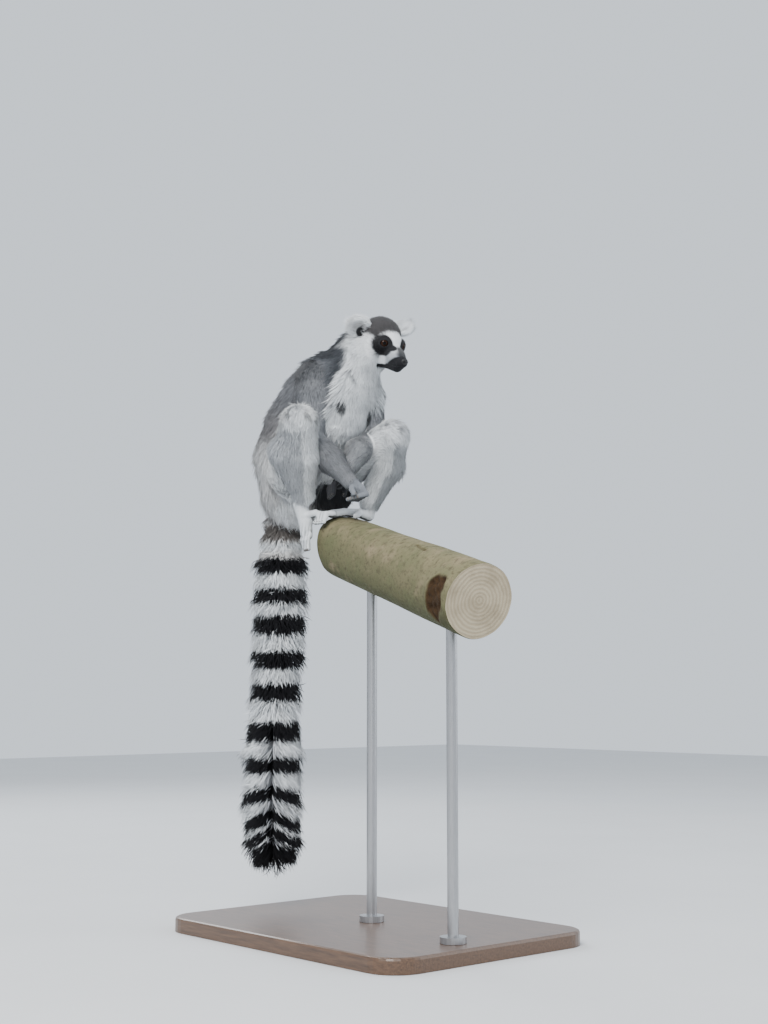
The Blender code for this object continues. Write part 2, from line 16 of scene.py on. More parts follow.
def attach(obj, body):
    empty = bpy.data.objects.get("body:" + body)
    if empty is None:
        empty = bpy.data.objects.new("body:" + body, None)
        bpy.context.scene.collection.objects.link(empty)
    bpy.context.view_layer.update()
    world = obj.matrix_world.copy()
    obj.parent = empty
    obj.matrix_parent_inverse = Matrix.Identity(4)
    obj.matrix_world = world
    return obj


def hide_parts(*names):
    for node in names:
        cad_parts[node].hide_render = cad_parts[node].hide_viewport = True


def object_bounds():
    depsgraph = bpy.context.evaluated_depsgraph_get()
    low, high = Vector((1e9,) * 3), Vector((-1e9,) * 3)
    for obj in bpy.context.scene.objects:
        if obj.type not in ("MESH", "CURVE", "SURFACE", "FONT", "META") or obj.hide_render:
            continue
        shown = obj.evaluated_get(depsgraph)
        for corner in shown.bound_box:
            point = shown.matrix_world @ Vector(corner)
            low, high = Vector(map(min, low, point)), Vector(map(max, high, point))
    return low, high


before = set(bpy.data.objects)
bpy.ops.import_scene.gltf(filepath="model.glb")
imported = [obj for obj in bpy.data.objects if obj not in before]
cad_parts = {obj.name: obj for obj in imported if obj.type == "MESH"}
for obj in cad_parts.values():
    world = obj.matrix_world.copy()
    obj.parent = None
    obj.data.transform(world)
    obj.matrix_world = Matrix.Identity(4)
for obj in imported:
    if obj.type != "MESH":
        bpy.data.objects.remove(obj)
cad_low, cad_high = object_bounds()
rng = np.random.default_rng(20)

# ---------------- the body's stations
# place, radius out to the coat's tips, depth of the coat there
SPINE = (((0.034, 0.070, 0.922), 0.037, 0.006), ((0.024, 0.078, 0.898), 0.044, 0.007),
         ((0.010, 0.104, 0.870), 0.058, 0.0075), ((0.003, 0.132, 0.842), 0.065, 0.0070),
         ((-0.004, 0.164, 0.802), 0.066, 0.0070), ((-0.007, 0.183, 0.756), 0.067, 0.0080),
         ((-0.010, 0.180, 0.712), 0.064, 0.0095))
UNDERSIDE = (((0.017, 0.080, 0.852), 0.047, 0.0075), ((0.008, 0.104, 0.812), 0.052, 0.0070),
             ((0.005, 0.122, 0.768), 0.055, 0.0070))
RUMP_SEAT, GROIN = ((-0.012, 0.186, 0.688), 0.042, 0.009), ((0.028, 0.128, 0.692), 0.030, 0.005)
ARMS = {
    "right": (((-0.034, 0.100, 0.874), 0.030, 0.0060), ((-0.044, 0.092, 0.850), 0.026, 0.0050),
              ((-0.052, 0.088, 0.772), 0.0215, 0.0040), ((-0.040, 0.056, 0.737), 0.0215, 0.0040),
              ((-0.029, 0.020, 0.6985), 0.0125, 0.0018)),
    "left": (((0.056, 0.098, 0.878), 0.030, 0.0060), ((0.066, 0.084, 0.856), 0.026, 0.0050),
             ((0.062, 0.066, 0.783), 0.0190, 0.0040), ((0.009, 0.043, 0.755), 0.0205, 0.0040),
             ((-0.013, 0.049, 0.716), 0.0120, 0.0018))}
LEGS = {
    "right": (((-0.036, 0.152, 0.722), 0.048, 0.0075), ((-0.099, 0.062, 0.789), 0.0300, 0.0045),
              ((-0.082, 0.076, 0.738), 0.0285, 0.0045), ((-0.061, 0.098, 0.685), 0.0200, 0.0035)),
    "left": (((0.029, 0.150, 0.722), 0.043, 0.0075), ((0.062, 0.023, 0.7805), 0.0285, 0.0045),
             ((0.071, 0.045, 0.738), 0.0290, 0.0045), ((0.0585, 0.071, 0.681), 0.0185, 0.0035))}
CALVES = {"right": ((-0.098, 0.092, 0.747), 0.0310, 0.0050), "left": ((0.089, 0.070, 0.742), 0.0335, 0.0050)}
PALMS = {"right": (((-0.029, 0.020, 0.6985), 0.0120, 0.0015), ((-0.018, 0.010, 0.6855), 0.0110, 0.0012)),
         "left": (((-0.013, 0.049, 0.716), 0.0115, 0.0015), ((-0.028, 0.051, 0.6990), 0.0105, 0.0012))}
SOLES = {"right": (((-0.061, 0.098, 0.685), 0.0170, 0.003), ((-0.062, 0.105, 0.668), 0.0125, 0.0015),
                   ((-0.055, 0.100, 0.640), 0.0120, 0.0012), ((-0.053, 0.0985, 0.619), 0.0105, 0.001)),
         "left": (((0.0585, 0.071, 0.681), 0.0160, 0.003), ((0.0555, 0.074, 0.6560), 0.0105, 0.0012),
                  ((0.036, 0.0745, 0.6585), 0.0080, 0.0007), ((0.006, 0.0765, 0.6578), 0.0074, 0.0007),
                  ((-0.018, 0.0785, 0.6535), 0.0074, 0.0007))}
# first and last root, first and last tip, how far the knuckles stand out, the nails' outward way
DIGITS = {
    "hand_right": ((-0.018, 0.004, 0.6890), (-0.022, 0.019, 0.6790), (-0.027, 0.005, 0.6735),
                   (-0.032, 0.021, 0.6705), (0.010, -0.004, -0.003), (0.5, -0.8, 0.2)),
    "hand_left": ((-0.031, 0.043, 0.703), (-0.030, 0.059, 0.695), (-0.043, 0.044, 0.681),
                  (-0.038, 0.060, 0.677), (-0.005, 0.0, 0.004), (-0.8, -0.2, 0.5)),
    "foot_right": ((-0.0555, 0.088, 0.618), (-0.0505, 0.108, 0.620), (-0.059, 0.086, 0.5955),
                   (-0.049, 0.106, 0.5965), (-0.004, 0.0, 0.003), (-0.95, 0.0, 0.2)),
    "foot_left": ((-0.022, 0.070, 0.6530), (-0.021, 0.088, 0.6540), (-0.040, 0.072, 0.6385),
                  (-0.040, 0.092, 0.6390), (-0.004, 0.0, 0.006), (-0.6, 0.0, 0.8))}
THUMBS = {
    "hand_right": (((-0.027, 0.015, 0.694), 0.0055), ((-0.036, 0.008, 0.685), 0.0048),
                   ((-0.036, 0.002, 0.677), 0.0042)),
    "hand_left": (((-0.021, 0.050, 0.701), 0.0055), ((-0.017, 0.047, 0.689), 0.0048),
                  ((-0.021, 0.044, 0.681), 0.0042)),
    "foot_right": (((-0.057, 0.094, 0.650), 0.0068), ((-0.042, 0.090, 0.654), 0.0062),
                   ((-0.030, 0.085, 0.6465), 0.0055)),
    "foot_left": (((0.030, 0.068, 0.6585), 0.0066), ((0.018, 0.054, 0.6545), 0.0060),
                  ((0.004, 0.044, 0.6490), 0.0055))}
DIGIT_COUNT, DIGIT_RADIUS, DIGIT_COAT = 4, 0.0050, 0.0006
TAIL = (((-0.0100, 0.190, 0.712), 0.040, 0.024), ((-0.0110, 0.206, 0.688), 0.034, 0.020),
        ((-0.0109, 0.214, 0.655), 0.034, 0.022), ((-0.0120, 0.215, 0.625), 0.038, 0.028),
        ((-0.0150, 0.214, 0.585), 0.047, 0.038), ((-0.0182, 0.212, 0.522), 0.048, 0.040),
        ((-0.0240, 0.210, 0.430), 0.0455, 0.038), ((-0.0299, 0.208, 0.357), 0.0440, 0.037),
        ((-0.0345, 0.206, 0.280), 0.0490, 0.043), ((-0.0380, 0.203, 0.196), 0.0490, 0.044),
        ((-0.0375, 0.201, 0.135), 0.0460, 0.0415), ((-0.0355, 0.200, 0.112), 0.0330, 0.030))

# the head's own axes: forward, left, up, from midway between the eyes
EYES_MID = np.array((0.0567, 0.014, 0.9302))
HEAD_YAW, HEAD_PITCH, HEAD_ROLL = math.radians(-3.0), math.radians(22.0), math.radians(0.5)
HEAD_BALLS = (((-0.0375, 0.0, 0.0070), (0.0370, 0.0345, 0.0332), 0.0040),    # skull
              ((-0.008, 0.0, 0.003), (0.0180, 0.0225, 0.0175), 0.0016),      # brow
              ((-0.050, 0.0, -0.014), (0.030, 0.040, 0.031), 0.0060),        # nape ruff
              ((-0.026, 0.0215, -0.014), (0.0240, 0.0175, 0.0215), 0.0035),  # cheeks
              ((-0.026, -0.0215, -0.014), (0.0240, 0.0175, 0.0215), 0.0035))
MUZZLE = (((-0.002, 0.0, -0.0105), 0.0175, 0.0022), ((0.015, 0.0, -0.0165), 0.0150, 0.0012),
          ((0.0325, 0.0, -0.0215), 0.0107, 0.0008))
JAW = (((-0.014, 0.0, -0.0250), 0.0155, 0.0022), ((0.0240, 0.0, -0.0310), 0.0096, 0.0009))
THROAT_TOP = ((-0.040, 0.0, -0.018), 0.034, 0.008)
EYE_PLACE, EYE_RADIUS = np.array((-0.0038, 0.0170, 0.0004)), 0.0088
EYE_LOOK = np.array((0.88, 0.46, 0.06))          # the way each eye looks, mirrored for the right one
EYE_HALF_WIDTH, EYE_HALF_HEIGHT = 0.0068, 0.0054
LID_RADIUS = 0.0104
SOCKET_SINK = 0.0008                             # how far the gap between the lids is cut into the eye's ball
NOSE_PLACE, NOSE_RADII = (0.0392, 0.0, -0.0195), (0.0052, 0.0068, 0.0054)
EAR_RADII, EAR_COAT = (0.0210, 0.0090, 0.0250), 0.0026
# each ear's place, the way from its root to its tip, and the way its cup opens
EARS = {1: ((-0.0460, 0.0420, 0.0245), (-0.05, 0.85, 0.52), (-0.22, 0.50, -0.85)),
        -1: ((-0.0405, 0.0415, 0.0137), (-0.10, 0.95, 0.20), (0.72, 0.30, -0.10))}
EAR_CUP_SHARE, EAR_CUP_DEPTH = 0.70, 0.0062
EAR_CANAL_PLACE, EAR_CANAL_RADIUS = (0.0055, -0.0050, -0.0060), 0.0045
MOUTH = ((0.0400, 0.0, -0.0275), (0.0350, 0.0060, -0.0290), (0.0240, 0.0090, -0.0305),
         (0.0120, 0.0108, -0.0312), (0.0018, 0.0130, -0.0300), (-0.0060, 0.0185, -0.0254))
MOUTH_RADIUS = 0.0004
# crease across the throat, drawn as a line of painted shade
THROAT_FOLD = ((-0.0064, 0.0476, 0.8890), (-0.0031, 0.0439, 0.8741), (0.0035, 0.0368, 0.8608),
               (0.0162, 0.0343, 0.8589), (0.0357, 0.0394, 0.8656), (0.0500, 0.0420, 0.8720))

# perch log
LOG_END = Vector((0.0195, 0.084, 0.6023))
LOG_AXIS = Vector((-0.195, -0.9436, -0.2676)).normalized()
LOG_LENGTH, LOG_RADIUS_END, LOG_RADIUS_FAR, LOG_SQUARENESS = 0.40, 0.0490, 0.0554, 0.5
LUMP_ANGLE, LUMP_HEIGHT, LUMP_WIDTH, LUMP_LENGTH = math.radians(12), 0.008, math.radians(42), 0.060

# ---------------- small helpers
def unit(vectors):
    return vectors / np.maximum(np.linalg.norm(vectors, axis=-1, keepdims=True), 1e-9)


def step(low, high, value):
    """0 below low, 1 above high, smooth between; low may be the larger."""
    share = np.clip((value - low) / (high - low), 0.0, 1.0)
    return share * share * (3.0 - 2.0 * share)


def smooth_min(a, b, width):
    share = np.maximum(width - np.abs(a - b), 0.0) / width
    return np.minimum(a, b) - share * share * width * 0.25


def wobble(points, size, seed=0.0):
    """A smooth wavy number between -1 and 1 at each point."""
    x, y, z = (points / size + seed * 7.3).T
    total = np.sin(x * 1.7 + np.sin(y * 1.3 + seed) * 1.4) + np.sin(y * 1.9 + np.sin(z * 1.1) * 1.6 + 2.0)
    return (total + np.sin(z * 1.5 + np.sin(x * 1.6 + seed) * 1.3 + 4.0)) / 3.0


def head_axes():
    forward = Vector((math.sin(HEAD_YAW) * math.cos(HEAD_PITCH),
                      -math.cos(HEAD_YAW) * math.cos(HEAD_PITCH), -math.sin(HEAD_PITCH)))
    left = Vector((math.cos(HEAD_YAW), math.sin(HEAD_YAW), 0.0))
    roll = Matrix.Rotation(-HEAD_ROLL, 3, forward)
    return np.array([forward, roll @ left, roll @ forward.cross(left)])


AXES = head_axes()


def in_head(place, side=1):
    return EYES_MID + np.array((place[0], place[1] * side, place[2])) @ AXES


def to_head(points):
    return (points - EYES_MID) @ AXES.T


# ---------------- the distance field
GROUPS = ("torso", "head", "ear_right", "ear_left", "arm_right", "arm_left", "leg_right", "leg_left",
          "hand_right", "hand_left", "foot_right", "foot_left", "tail")
# how widely a group's own solids run together, and how widely it runs into the rest
BLEND = {"torso": 0.020, "head": 0.007, "tail": 0.008, "ear_right": 0.002, "ear_left": 0.002}
JOINING = {"head": 0.010, "tail": 0.010, "ear_right": 0.003, "ear_left": 0.003}
COAT_BLEND = 0.004                               # how softly the coat's lie turns from solid to solid
solids = []


def add_chain(group, stations):
    """Cones between stations of place, radius and coat depth; the coat lies along the chain."""
    for (a, radius_a, coat_a), (b, radius_b, coat_b) in zip(stations, stations[1:]):
        solids.append({"kind": "cone", "group": group, "a": np.array(a), "b": np.array(b),
                       "radii": (radius_a, radius_b), "coats": (coat_a, coat_b)})


def add_ball(group, centre, radii, coat, turn=None, flow=None):
    """A ball or ellipsoid; flow is the way its coat lies, which the head works out for itself."""
    radii = np.array(radii if hasattr(radii, "__len__") else (radii,) * 3)
    solids.append({"kind": "ball", "group": group, "a": np.array(centre), "radii": radii, "coat": coat,
                   "turn": np.eye(3) if turn is None else turn, "flow": None if flow is None else unit(flow)})


def ear_frame(side):
    """The ways across the ear, out of its cup and along it."""
    _, length_way, facing_way = EARS[side]
    length = unit(np.array(length_way) * (1, side, 1) @ AXES)
    facing = np.array(facing_way) * (1, side, 1) @ AXES
    facing = unit(facing - length * (facing @ length))
    return np.array([np.cross(facing, length), facing, length])


def digit_chains(name):
    """Each finger's or toe's stations of place, radius and coat depth, the thumb's last."""
    first_root, last_root, first_tip, last_tip, curl, _ = (np.array(item) for item in DIGITS[name])
    chains = []
    for share in np.linspace(0.0, 1.0, DIGIT_COUNT):
        root = first_root * (1 - share) + last_root * share
        tip = first_tip * (1 - share) + last_tip * share
        knuckle = (root + tip) / 2 + curl
        chains.append(((root, DIGIT_RADIUS * 1.1), (knuckle, DIGIT_RADIUS), (tip, DIGIT_RADIUS * 0.85)))
    chains.append(THUMBS[name])
    return [[(place, radius, DIGIT_COAT) for place, radius in chain] for chain in chains]


def define_body():
    add_chain("torso", SPINE)
    add_chain("torso", UNDERSIDE)
    for centre, radius, coat in (RUMP_SEAT, GROIN):
        add_ball("torso", centre, radius, coat, flow=np.array((0.0, 0.25, -1.0)))
    for centre, radii, coat in HEAD_BALLS:
        add_ball("head", in_head(centre), radii, coat, turn=AXES)
    for chain in (MUZZLE, JAW):
        add_chain("head", [(in_head(place), radius, coat) for place, radius, coat in chain])
    add_chain("torso", ((in_head(THROAT_TOP[0]), THROAT_TOP[1], THROAT_TOP[2]), SPINE[0]))
    add_chain("tail", TAIL)
    for side, sign in (("right", -1), ("left", 1)):
        turn = ear_frame(sign)
        add_ball("ear_" + side, in_head(EARS[sign][0], sign), EAR_RADII, EAR_COAT, turn=turn, flow=turn[2])
        add_chain("arm_" + side, ARMS[side])
        add_chain("leg_" + side, LEGS[side])
        calf = CALVES[side]
        knee, ankle = LEGS[side][1], LEGS[side][3]
        add_chain("leg_" + side, ((knee[0], knee[1] * 0.9, 0.007), calf, (ankle[0], ankle[1] * 0.9, 0.005)))
        for part, chain in (("hand_", PALMS[side]), ("foot_", SOLES[side])):
            add_chain(part + side, chain)
            for digit in digit_chains(part + side):
                add_chain(part + side, digit)


def ellipsoid_distance(local, radii):
    """Near enough the distance from an ellipsoid of these radii round the origin."""
    inner = np.linalg.norm(local / radii, axis=1)
    outer = np.linalg.norm(local / radii ** 2, axis=1)
    return inner * (inner - 1.0) / np.maximum(outer, 1e-6)


def distance_to(solid, points):
    """Distance to one solid with its coat taken off, and the share along it."""
    if solid["kind"] == "ball":
        local = (points - solid["a"]) @ solid["turn"].T
        return ellipsoid_distance(local, solid["radii"] - solid["coat"]), np.full(len(points), 0.5)
    along = solid["b"] - solid["a"]
    share = np.clip((points - solid["a"]) @ along / (along @ along), 0.0, 1.0)
    radii = [radius - coat for radius, coat in zip(solid["radii"], solid["coats"])]
    away = np.linalg.norm(points - solid["a"] - share[:, None] * along, axis=1)
    return away - (radii[0] * (1 - share) + radii[1] * share), share


def eye_frame(side):
    """The eye's centre, and the ways across, up and out of its opening."""
    look = unit(EYE_LOOK * (1, side, 1) @ AXES)
    across = unit(np.cross(look, AXES[2]) + AXES[2] * 0.10 * side)
    return in_head(EYE_PLACE, side), across, np.cross(across, look), look


def eye_opening(points, side):
    """Negative inside the gap between the lids, and the distance from the eye's centre."""
    centre, across, rise, look = eye_frame(side)
    local = points - centre
    a, b, c = local @ across, local @ rise, local @ look
    oval = np.sqrt((a / EYE_HALF_WIDTH) ** 2 + (b / EYE_HALF_HEIGHT) ** 2) - 1.0
    return np.maximum(oval * EYE_HALF_HEIGHT, -c), np.linalg.norm(local, axis=1)


def curve_distance(points, stations):
    """Distance of each point from a line through stations."""
    best = np.full(len(points), 1.0)
    for a, b in zip(stations, stations[1:]):
        a, along = np.array(a), np.array(b) - np.array(a)
        share = np.clip((points - a) @ along / (along @ along), 0.0, 1.0)
        best = np.minimum(best, np.linalg.norm(points - a - share[:, None] * along, axis=1))
    return best


def mouth_distance(head):
    """Distance from the line of the mouth of points in the head's own axes."""
    return curve_distance(np.stack([head[:, 0], np.abs(head[:, 1]), head[:, 2]], 1), MOUTH)


def carve(field, hollow, width):
    """The field with a hollow cut out of it, its rim rounded."""
    return -smooth_min(-field, hollow, width)


# how widely the lids run into the face, and how wide the rounded rims of the hollows are
LID_BLEND, LID_RIM, CUP_RIM, CANAL_RIM, MOUTH_RIM = 0.005, 0.0008, 0.0015, 0.003, 0.0014


def face_detail(points, field):
    """Lids round the eyes, hollows in the ears and the line of the mouth, cut into the field."""
    for side in (-1, 1):
        opening, away = eye_opening(points, side)
        field = smooth_min(field, away - LID_RADIUS, LID_BLEND)
        field = carve(field, np.maximum(opening, EYE_RADIUS - SOCKET_SINK - away), LID_RIM)
        turn = ear_frame(side)
        local = (points - in_head(EARS[side][0], side) - turn[1] * EAR_CUP_DEPTH) @ turn.T
        radii = np.array((EAR_RADII[0] * EAR_CUP_SHARE, EAR_CUP_DEPTH, EAR_RADII[2] * EAR_CUP_SHARE))
        field = carve(field, ellipsoid_distance(local, radii), CUP_RIM)
        canal = np.linalg.norm(local - EAR_CANAL_PLACE, axis=1) - EAR_CANAL_RADIUS
        field = carve(field, canal, CANAL_RIM)
    return carve(field, mouth_distance(to_head(points)) - MOUTH_RADIUS, MOUTH_RIM)


def body_field(points):
    """Signed distance to the skin."""
    whole = np.full(len(points), 1.0)
    for group in GROUPS:
        width = BLEND.get(group, 0.0014 if group[:4] in ("hand", "foot") else 0.006)
        part = np.full(len(points), 1.0)
        for solid in solids:
            if solid["group"] == group:
                part = smooth_min(part, distance_to(solid, points)[0], width)
        joining = JOINING.get(group, 0.005)
        if group[:3] in ("arm", "leg"):
            joining = 0.004 + 0.018 * step(0.795, 0.850, points[:, 2])
        whole = smooth_min(whole, part, joining)
    return face_detail(points, whole)


def nearest(points):
    """Each point's group, nearest solid and share along it, and the depth and way of its coat."""
    gaps = np.empty((len(solids), len(points)), np.float32)
    shares = np.empty_like(gaps)
    for index, solid in enumerate(solids):
        gaps[index], shares[index] = distance_to(solid, points)
    numbers = np.array([GROUPS.index(solid["group"]) for solid in solids])
    closest = gaps.argmin(0)
    group = numbers[closest]
    weights = np.exp(-(gaps - gaps.min(0)) / COAT_BLEND) * (numbers[:, None] == group)
    weights /= weights.sum(0)
    depth = np.zeros(len(points))
    flow = np.zeros((len(points), 3))
    nose_tip = in_head((0.046, 0.0, -0.022))
    for solid, share, weight in zip(solids, shares, weights):
        if solid["kind"] == "cone":
            coat = solid["coats"][0] * (1 - share) + solid["coats"][1] * share
            way = unit(solid["b"] - solid["a"])
        else:
            coat, way = solid["coat"], solid["flow"]
        if solid["group"] == "head":
            way = unit(points - nose_tip)
        depth += coat * weight
        flow += way * weight[:, None]
    share = shares[closest, np.arange(len(points))]
    return {"group": group, "closest": closest, "share": share, "depth": depth, "flow": unit(flow)}


# ---------------- markings
# lowest and highest edge of each black ring of the tail, and how soft those edges are
TAIL_RINGS = ((0.050, 0.132), (0.140, 0.156), (0.166, 0.181), (0.202, 0.218), (0.241, 0.262), (0.291, 0.319),
              (0.355, 0.382), (0.407, 0.435), (0.463, 0.492), (0.515, 0.537), (0.563, 0.587), (0.618, 0.645))
RING_OUTER, RING_INNER = 0.0045, 0.0010
# the tail's hair parts along this side of it and sweeps to both sides
PARTING_WAY, PARTING_SIDE = np.array((-0.66, -0.75, 0.0)), np.array((0.75, -0.66, 0.0))
# place and radii of spots: the chest's dark glands, the painted shade between the legs, the chest's grey
# mottle, the dark strip at the left shoulder, the painted shade where the left hand hides, and in the head's
# own axes the spot on the cheek
GLANDS = (((-0.0150, 0.0570, 0.8275), (0.0062, 0.0140, 0.0115)),
          ((0.0425, 0.0600, 0.8190), (0.0068, 0.0160, 0.0140)))
GROIN_SHADE = (0.020, 0.105, 0.692), (0.044, 0.052, 0.030)
CHEST_MOTTLE = (-0.026, 0.060, 0.835), (0.015, 0.018, 0.014)
SHOULDER_STRIP = (0.052, 0.062, 0.855), (0.012, 0.020, 0.022)
HAND_SHADE = (-0.036, 0.051, 0.692), (0.020, 0.022, 0.026)
CHEEK_SPOT = (-0.0042, 0.0256, -0.0196), (0.0026, 0.0026, 0.0026)
# the edge of the dark snout: how far forward it lies at each height in the head's own axes
SNOUT_HEIGHTS = (-0.0450, -0.0345, -0.0328, -0.0312, -0.0261, -0.0178, -0.0100)
SNOUT_EDGE = (-0.0140, -0.0100, -0.0020, 0.0110, 0.0160, 0.0255, 0.0340)
# the way the white front of each shin faces, and how nearly skin has to face it
SHIN_FRONTS = {"right": ((0.75, -0.65, 0.10), -0.12, 0.16), "left": ((-1.0, -0.10, 0.05), 0.36, 0.52)}
# across the right foot's toes, and how far apart the lines of painted shade between them are
TOE_SHADE_LINES_WAY, TOE_SHADE_LINES_GAP = np.array((0.743, -0.6585, -0.10)), 0.0052


def tail_bands(points):
    """Black, white and brown shares of the tail's coat: rings, lower at the sides near its tip."""
    height = points[:, 2]
    stations = np.array([station[0] for station in TAIL[::-1]])
    middle = np.stack([np.interp(height, stations[:, 2], stations[:, axis]) for axis in (0, 1)], 1)
    sideways = np.abs((points[:, :2] - middle) @ PARTING_SIDE[:2])
    level = height + sideways * np.interp(height, (0.15, 0.20, 0.24), (0.50, 0.30, 0.0))
    level += wobble(points, 0.011, 3.0) * 0.0025
    dark = np.zeros(len(level))
    for low, high in TAIL_RINGS:
        dark = np.maximum(dark, step(low - RING_OUTER, low + RING_INNER, level)
                          * step(high + RING_OUTER, high - RING_INNER, level))
    dark = np.maximum(dark, step(0.126, 0.118, height))
    root = step(0.640, 0.660, height)
    # the ring at the root is a dark brown, and the next one's upper edge is brownish
    top_ring = dark * step(0.600, 0.620, level)
    edge = step(0.582, 0.588, level) * step(0.606, 0.594, level)
    black = np.maximum(dark * 0.97 - top_ring * 0.39, root * 0.30)
    return black, 1.0 - root * 0.85, np.max([root * 0.5, top_ring * 0.7, edge * 0.35], axis=0)


def near_spot(points, spot):
    """1 inside an ellipsoid spot, 0 outside, soft at its edge."""
    place, radii = spot
    return step(1.25, 0.75, np.linalg.norm((points - np.array(place)) / np.array(radii), axis=1))


def chest_edge(points):
    """Distance sideways from the edge of the white chest, negative inside it."""
    height = points[:, 2]
    middle = np.interp(height, (0.70, 0.80, 0.85, 0.88, 0.90, 0.925),
                       (-0.005, 0.006, 0.016, 0.020, 0.030, 0.044))
    half = np.interp(height, (0.80, 0.84, 0.87, 0.89, 0.90, 0.925),
                     (0.050, 0.044, 0.042, 0.039, 0.042, 0.046))
    return np.abs(points[:, 0] - middle) - half


def ragged(points):
    """Small ups and downs that break the edges of the markings."""
    return wobble(points, 0.012, 1.0) * 0.07 + wobble(points, 0.005, 5.0) * 0.05


def brown_touches(points):
    return step(0.35, 0.85, wobble(points, 0.016, 6.0)) * 0.30


def digit_seam_shade(points):
    """Painted shade: 1 along the lines between neighbouring toes and fingers, 0 away from them."""
    seams = np.zeros(len(points))
    for name in DIGITS:
        gaps = []
        for chain in digit_chains(name):
            gaps.append(curve_distance(points, [station[0] for station in chain]) - chain[1][1])
        first, second = np.sort(gaps, axis=0)[:2]
        seams = np.maximum(seams, np.exp(-((second - first) / 0.0009) ** 2) * step(0.006, 0.003, first))
    return seams


def put(marks, here, **shares):
    """Set shares of the markings where here is true."""
    for key, value in shares.items():
        marks[key][here] = np.broadcast_to(value, len(here))[here]


def deepen(marks, **shares):
    """Raise shares of the markings to at least these values."""
    for key, value in shares.items():
        marks[key] = np.maximum(marks[key], value)


def ellipse(a, b, middle, half):
    """1 on an ellipse's rim, less inside it."""
    return np.sqrt(((a - middle[0]) / half[0]) ** 2 + ((b - middle[1]) / half[1]) ** 2)


def mark_head(points, normals, name, marks):
    """White, with a dark crown, nape, eye patches and muzzle, and a black line of the mouth; nothing grows on
    the lids.
    """
    head = to_head(points)
    forward, side, up = head[:, 0], np.abs(head[:, 1]), head[:, 2]
    soft = wobble(points, 0.006) * 0.0012
    crown_edge = -0.0055 - 8.0 * side ** 2 - 8000.0 * side ** 4
    crown = step(crown_edge + 0.0012, crown_edge - 0.0022, forward + soft) * step(0.004, 0.009, up + soft)
    crown *= step(0.034, 0.028, side)
    nape = step(-0.046, -0.056, forward + soft * 2) * step(-0.034, -0.024, up)
    ring = np.hypot(ellipse(side, up, (0.0185, -0.0035), (0.0135, 0.0168)), (forward + 0.002) / 0.022)
    inner = np.hypot(ellipse(side, up, (0.0085, -0.0055), (0.0070, 0.0065)), (forward - 0.012) / 0.0100)
    patch = np.maximum(step(1.10, 0.93, ring + soft * 60), step(1.12, 0.90, inner))
    bridge = step(0.010, 0.020, forward) * step(0.0105, 0.0045, side + soft * 2)
    border = np.interp(up, SNOUT_HEIGHTS, SNOUT_EDGE)
    snout = step(-0.0022, 0.0022, forward - border + soft) * step(-0.0430, -0.0385, up)
    spot = near_spot(np.stack([forward, side, up], 1), CHEEK_SPOT)
    side_grey = step(0.002, 0.012, forward) * step(-0.004, -0.012, up)
    here = name == "head"
    darks = (crown * 0.78, patch * 0.99, bridge * 0.92, snout * 0.985, spot * 0.7, nape * 0.70)
    greys = np.maximum(side_grey * (0.66 + 0.14 * step(0.016, 0.030, forward)), crown)
    put(marks, here, black=np.max(darks, axis=0), white=1.0 - greys, brown=crown * 0.3)
    for eye_side in (-1, 1):
        opening, away = eye_opening(points, eye_side)
        put(marks, (opening < 0.0016) & (away < 0.0135), bare=1.0, black=0.99)
    put(marks, here & (mouth_distance(head) < 0.0012), black=0.97)


def mark_ears(points, normals, name, marks):
    """White outside and at the rim; dark in the hollow, its dark skin with painted shade."""
    for side, ear in ((-1, "ear_right"), (1, "ear_left")):
        turn = ear_frame(side)
        across, out, along = ((points - in_head(EARS[side][0], side)) @ turn.T).T
        oval = ellipse(across, along, (0.0050, -0.0040), (0.0095, 0.0110))
        streak = ellipse(across, along, (-0.0040, -0.0010), (0.0110, 0.0036))
        # the hollow is dark: its dark skin together with painted shade in the cup
        hollow = step(1.10, 0.85, np.minimum(oval, streak)) * step(-0.0060, -0.0020, out)
        lining = step(1.0, 0.75, ellipse(across, along, (0.0, 0.0), (0.0150, 0.0180)))
        lining *= step(0.0015, -0.0005, out - 0.002) * (normals @ turn[1] > 0)
        put(marks, name == ear, black=hollow * 0.97, white=1.0 - 0.30 * lining, brown=0.25 * lining,
            bare=hollow > 0.5)


def mark_trunk(points, normals, name, marks):
    """Grey back, white throat, chest and belly, cream rump and flanks, a dark nape, painted shade between the
    legs and along the throat's crease.
    """
    here = name == "torso"
    height = points[:, 2]
    facing = normals @ unit(np.array((-0.05, -1.0, -0.12)))
    edge = chest_edge(points) + ragged(points) * 0.045
    under_chin = normals @ unit(np.array((0.6, -0.8, -0.1))) - 2.0 * step(0.905, 0.890, height)
    front = step(0.004, -0.004, edge) * step(-0.10, 0.15, np.maximum(facing, under_chin))
    back_line = step(0.76, 0.92, normals @ unit(np.array((0.0, 0.95, 0.30)))) * step(0.69, 0.72, height)
    rump = step(0.805, 0.765, height + wobble(points, 0.02, 2.0) * 0.012) * (1 - back_line)
    dark_nape = np.maximum(step(0.030, 0.006, edge) * step(0.850, 0.874, height), step(0.895, 0.912, height))
    dark_nape *= 1 - front
    # painted shade: a near-black spot between the legs
    groin_shade = near_spot(points, GROIN_SHADE)
    glands = np.maximum(*(near_spot(points, gland) for gland in GLANDS))
    plain = (1 - front) * (1 - rump)
    mottle = 0.38 * near_spot(points, CHEST_MOTTLE) * front * step(-0.4, 0.6, wobble(points, 0.006, 7.0))
    browned = (1 - front) * (0.14 + 0.14 * step(0.86, 0.80, height)) * (1 - dark_nape)
    put(marks, here, white=np.maximum(front, rump) - mottle,
        black=np.max([dark_nape * 0.74, plain * 0.08, groin_shade * 0.97, glands * 0.9], axis=0),
        brown=np.maximum(browned, rump * (0.03 + brown_touches(points))))
    # painted shade along the crease across the throat
    fold_shade = np.exp(-(curve_distance(points, THROAT_FOLD) / 0.0022) ** 2) * here
    deepen(marks, black=0.50 * fold_shade)


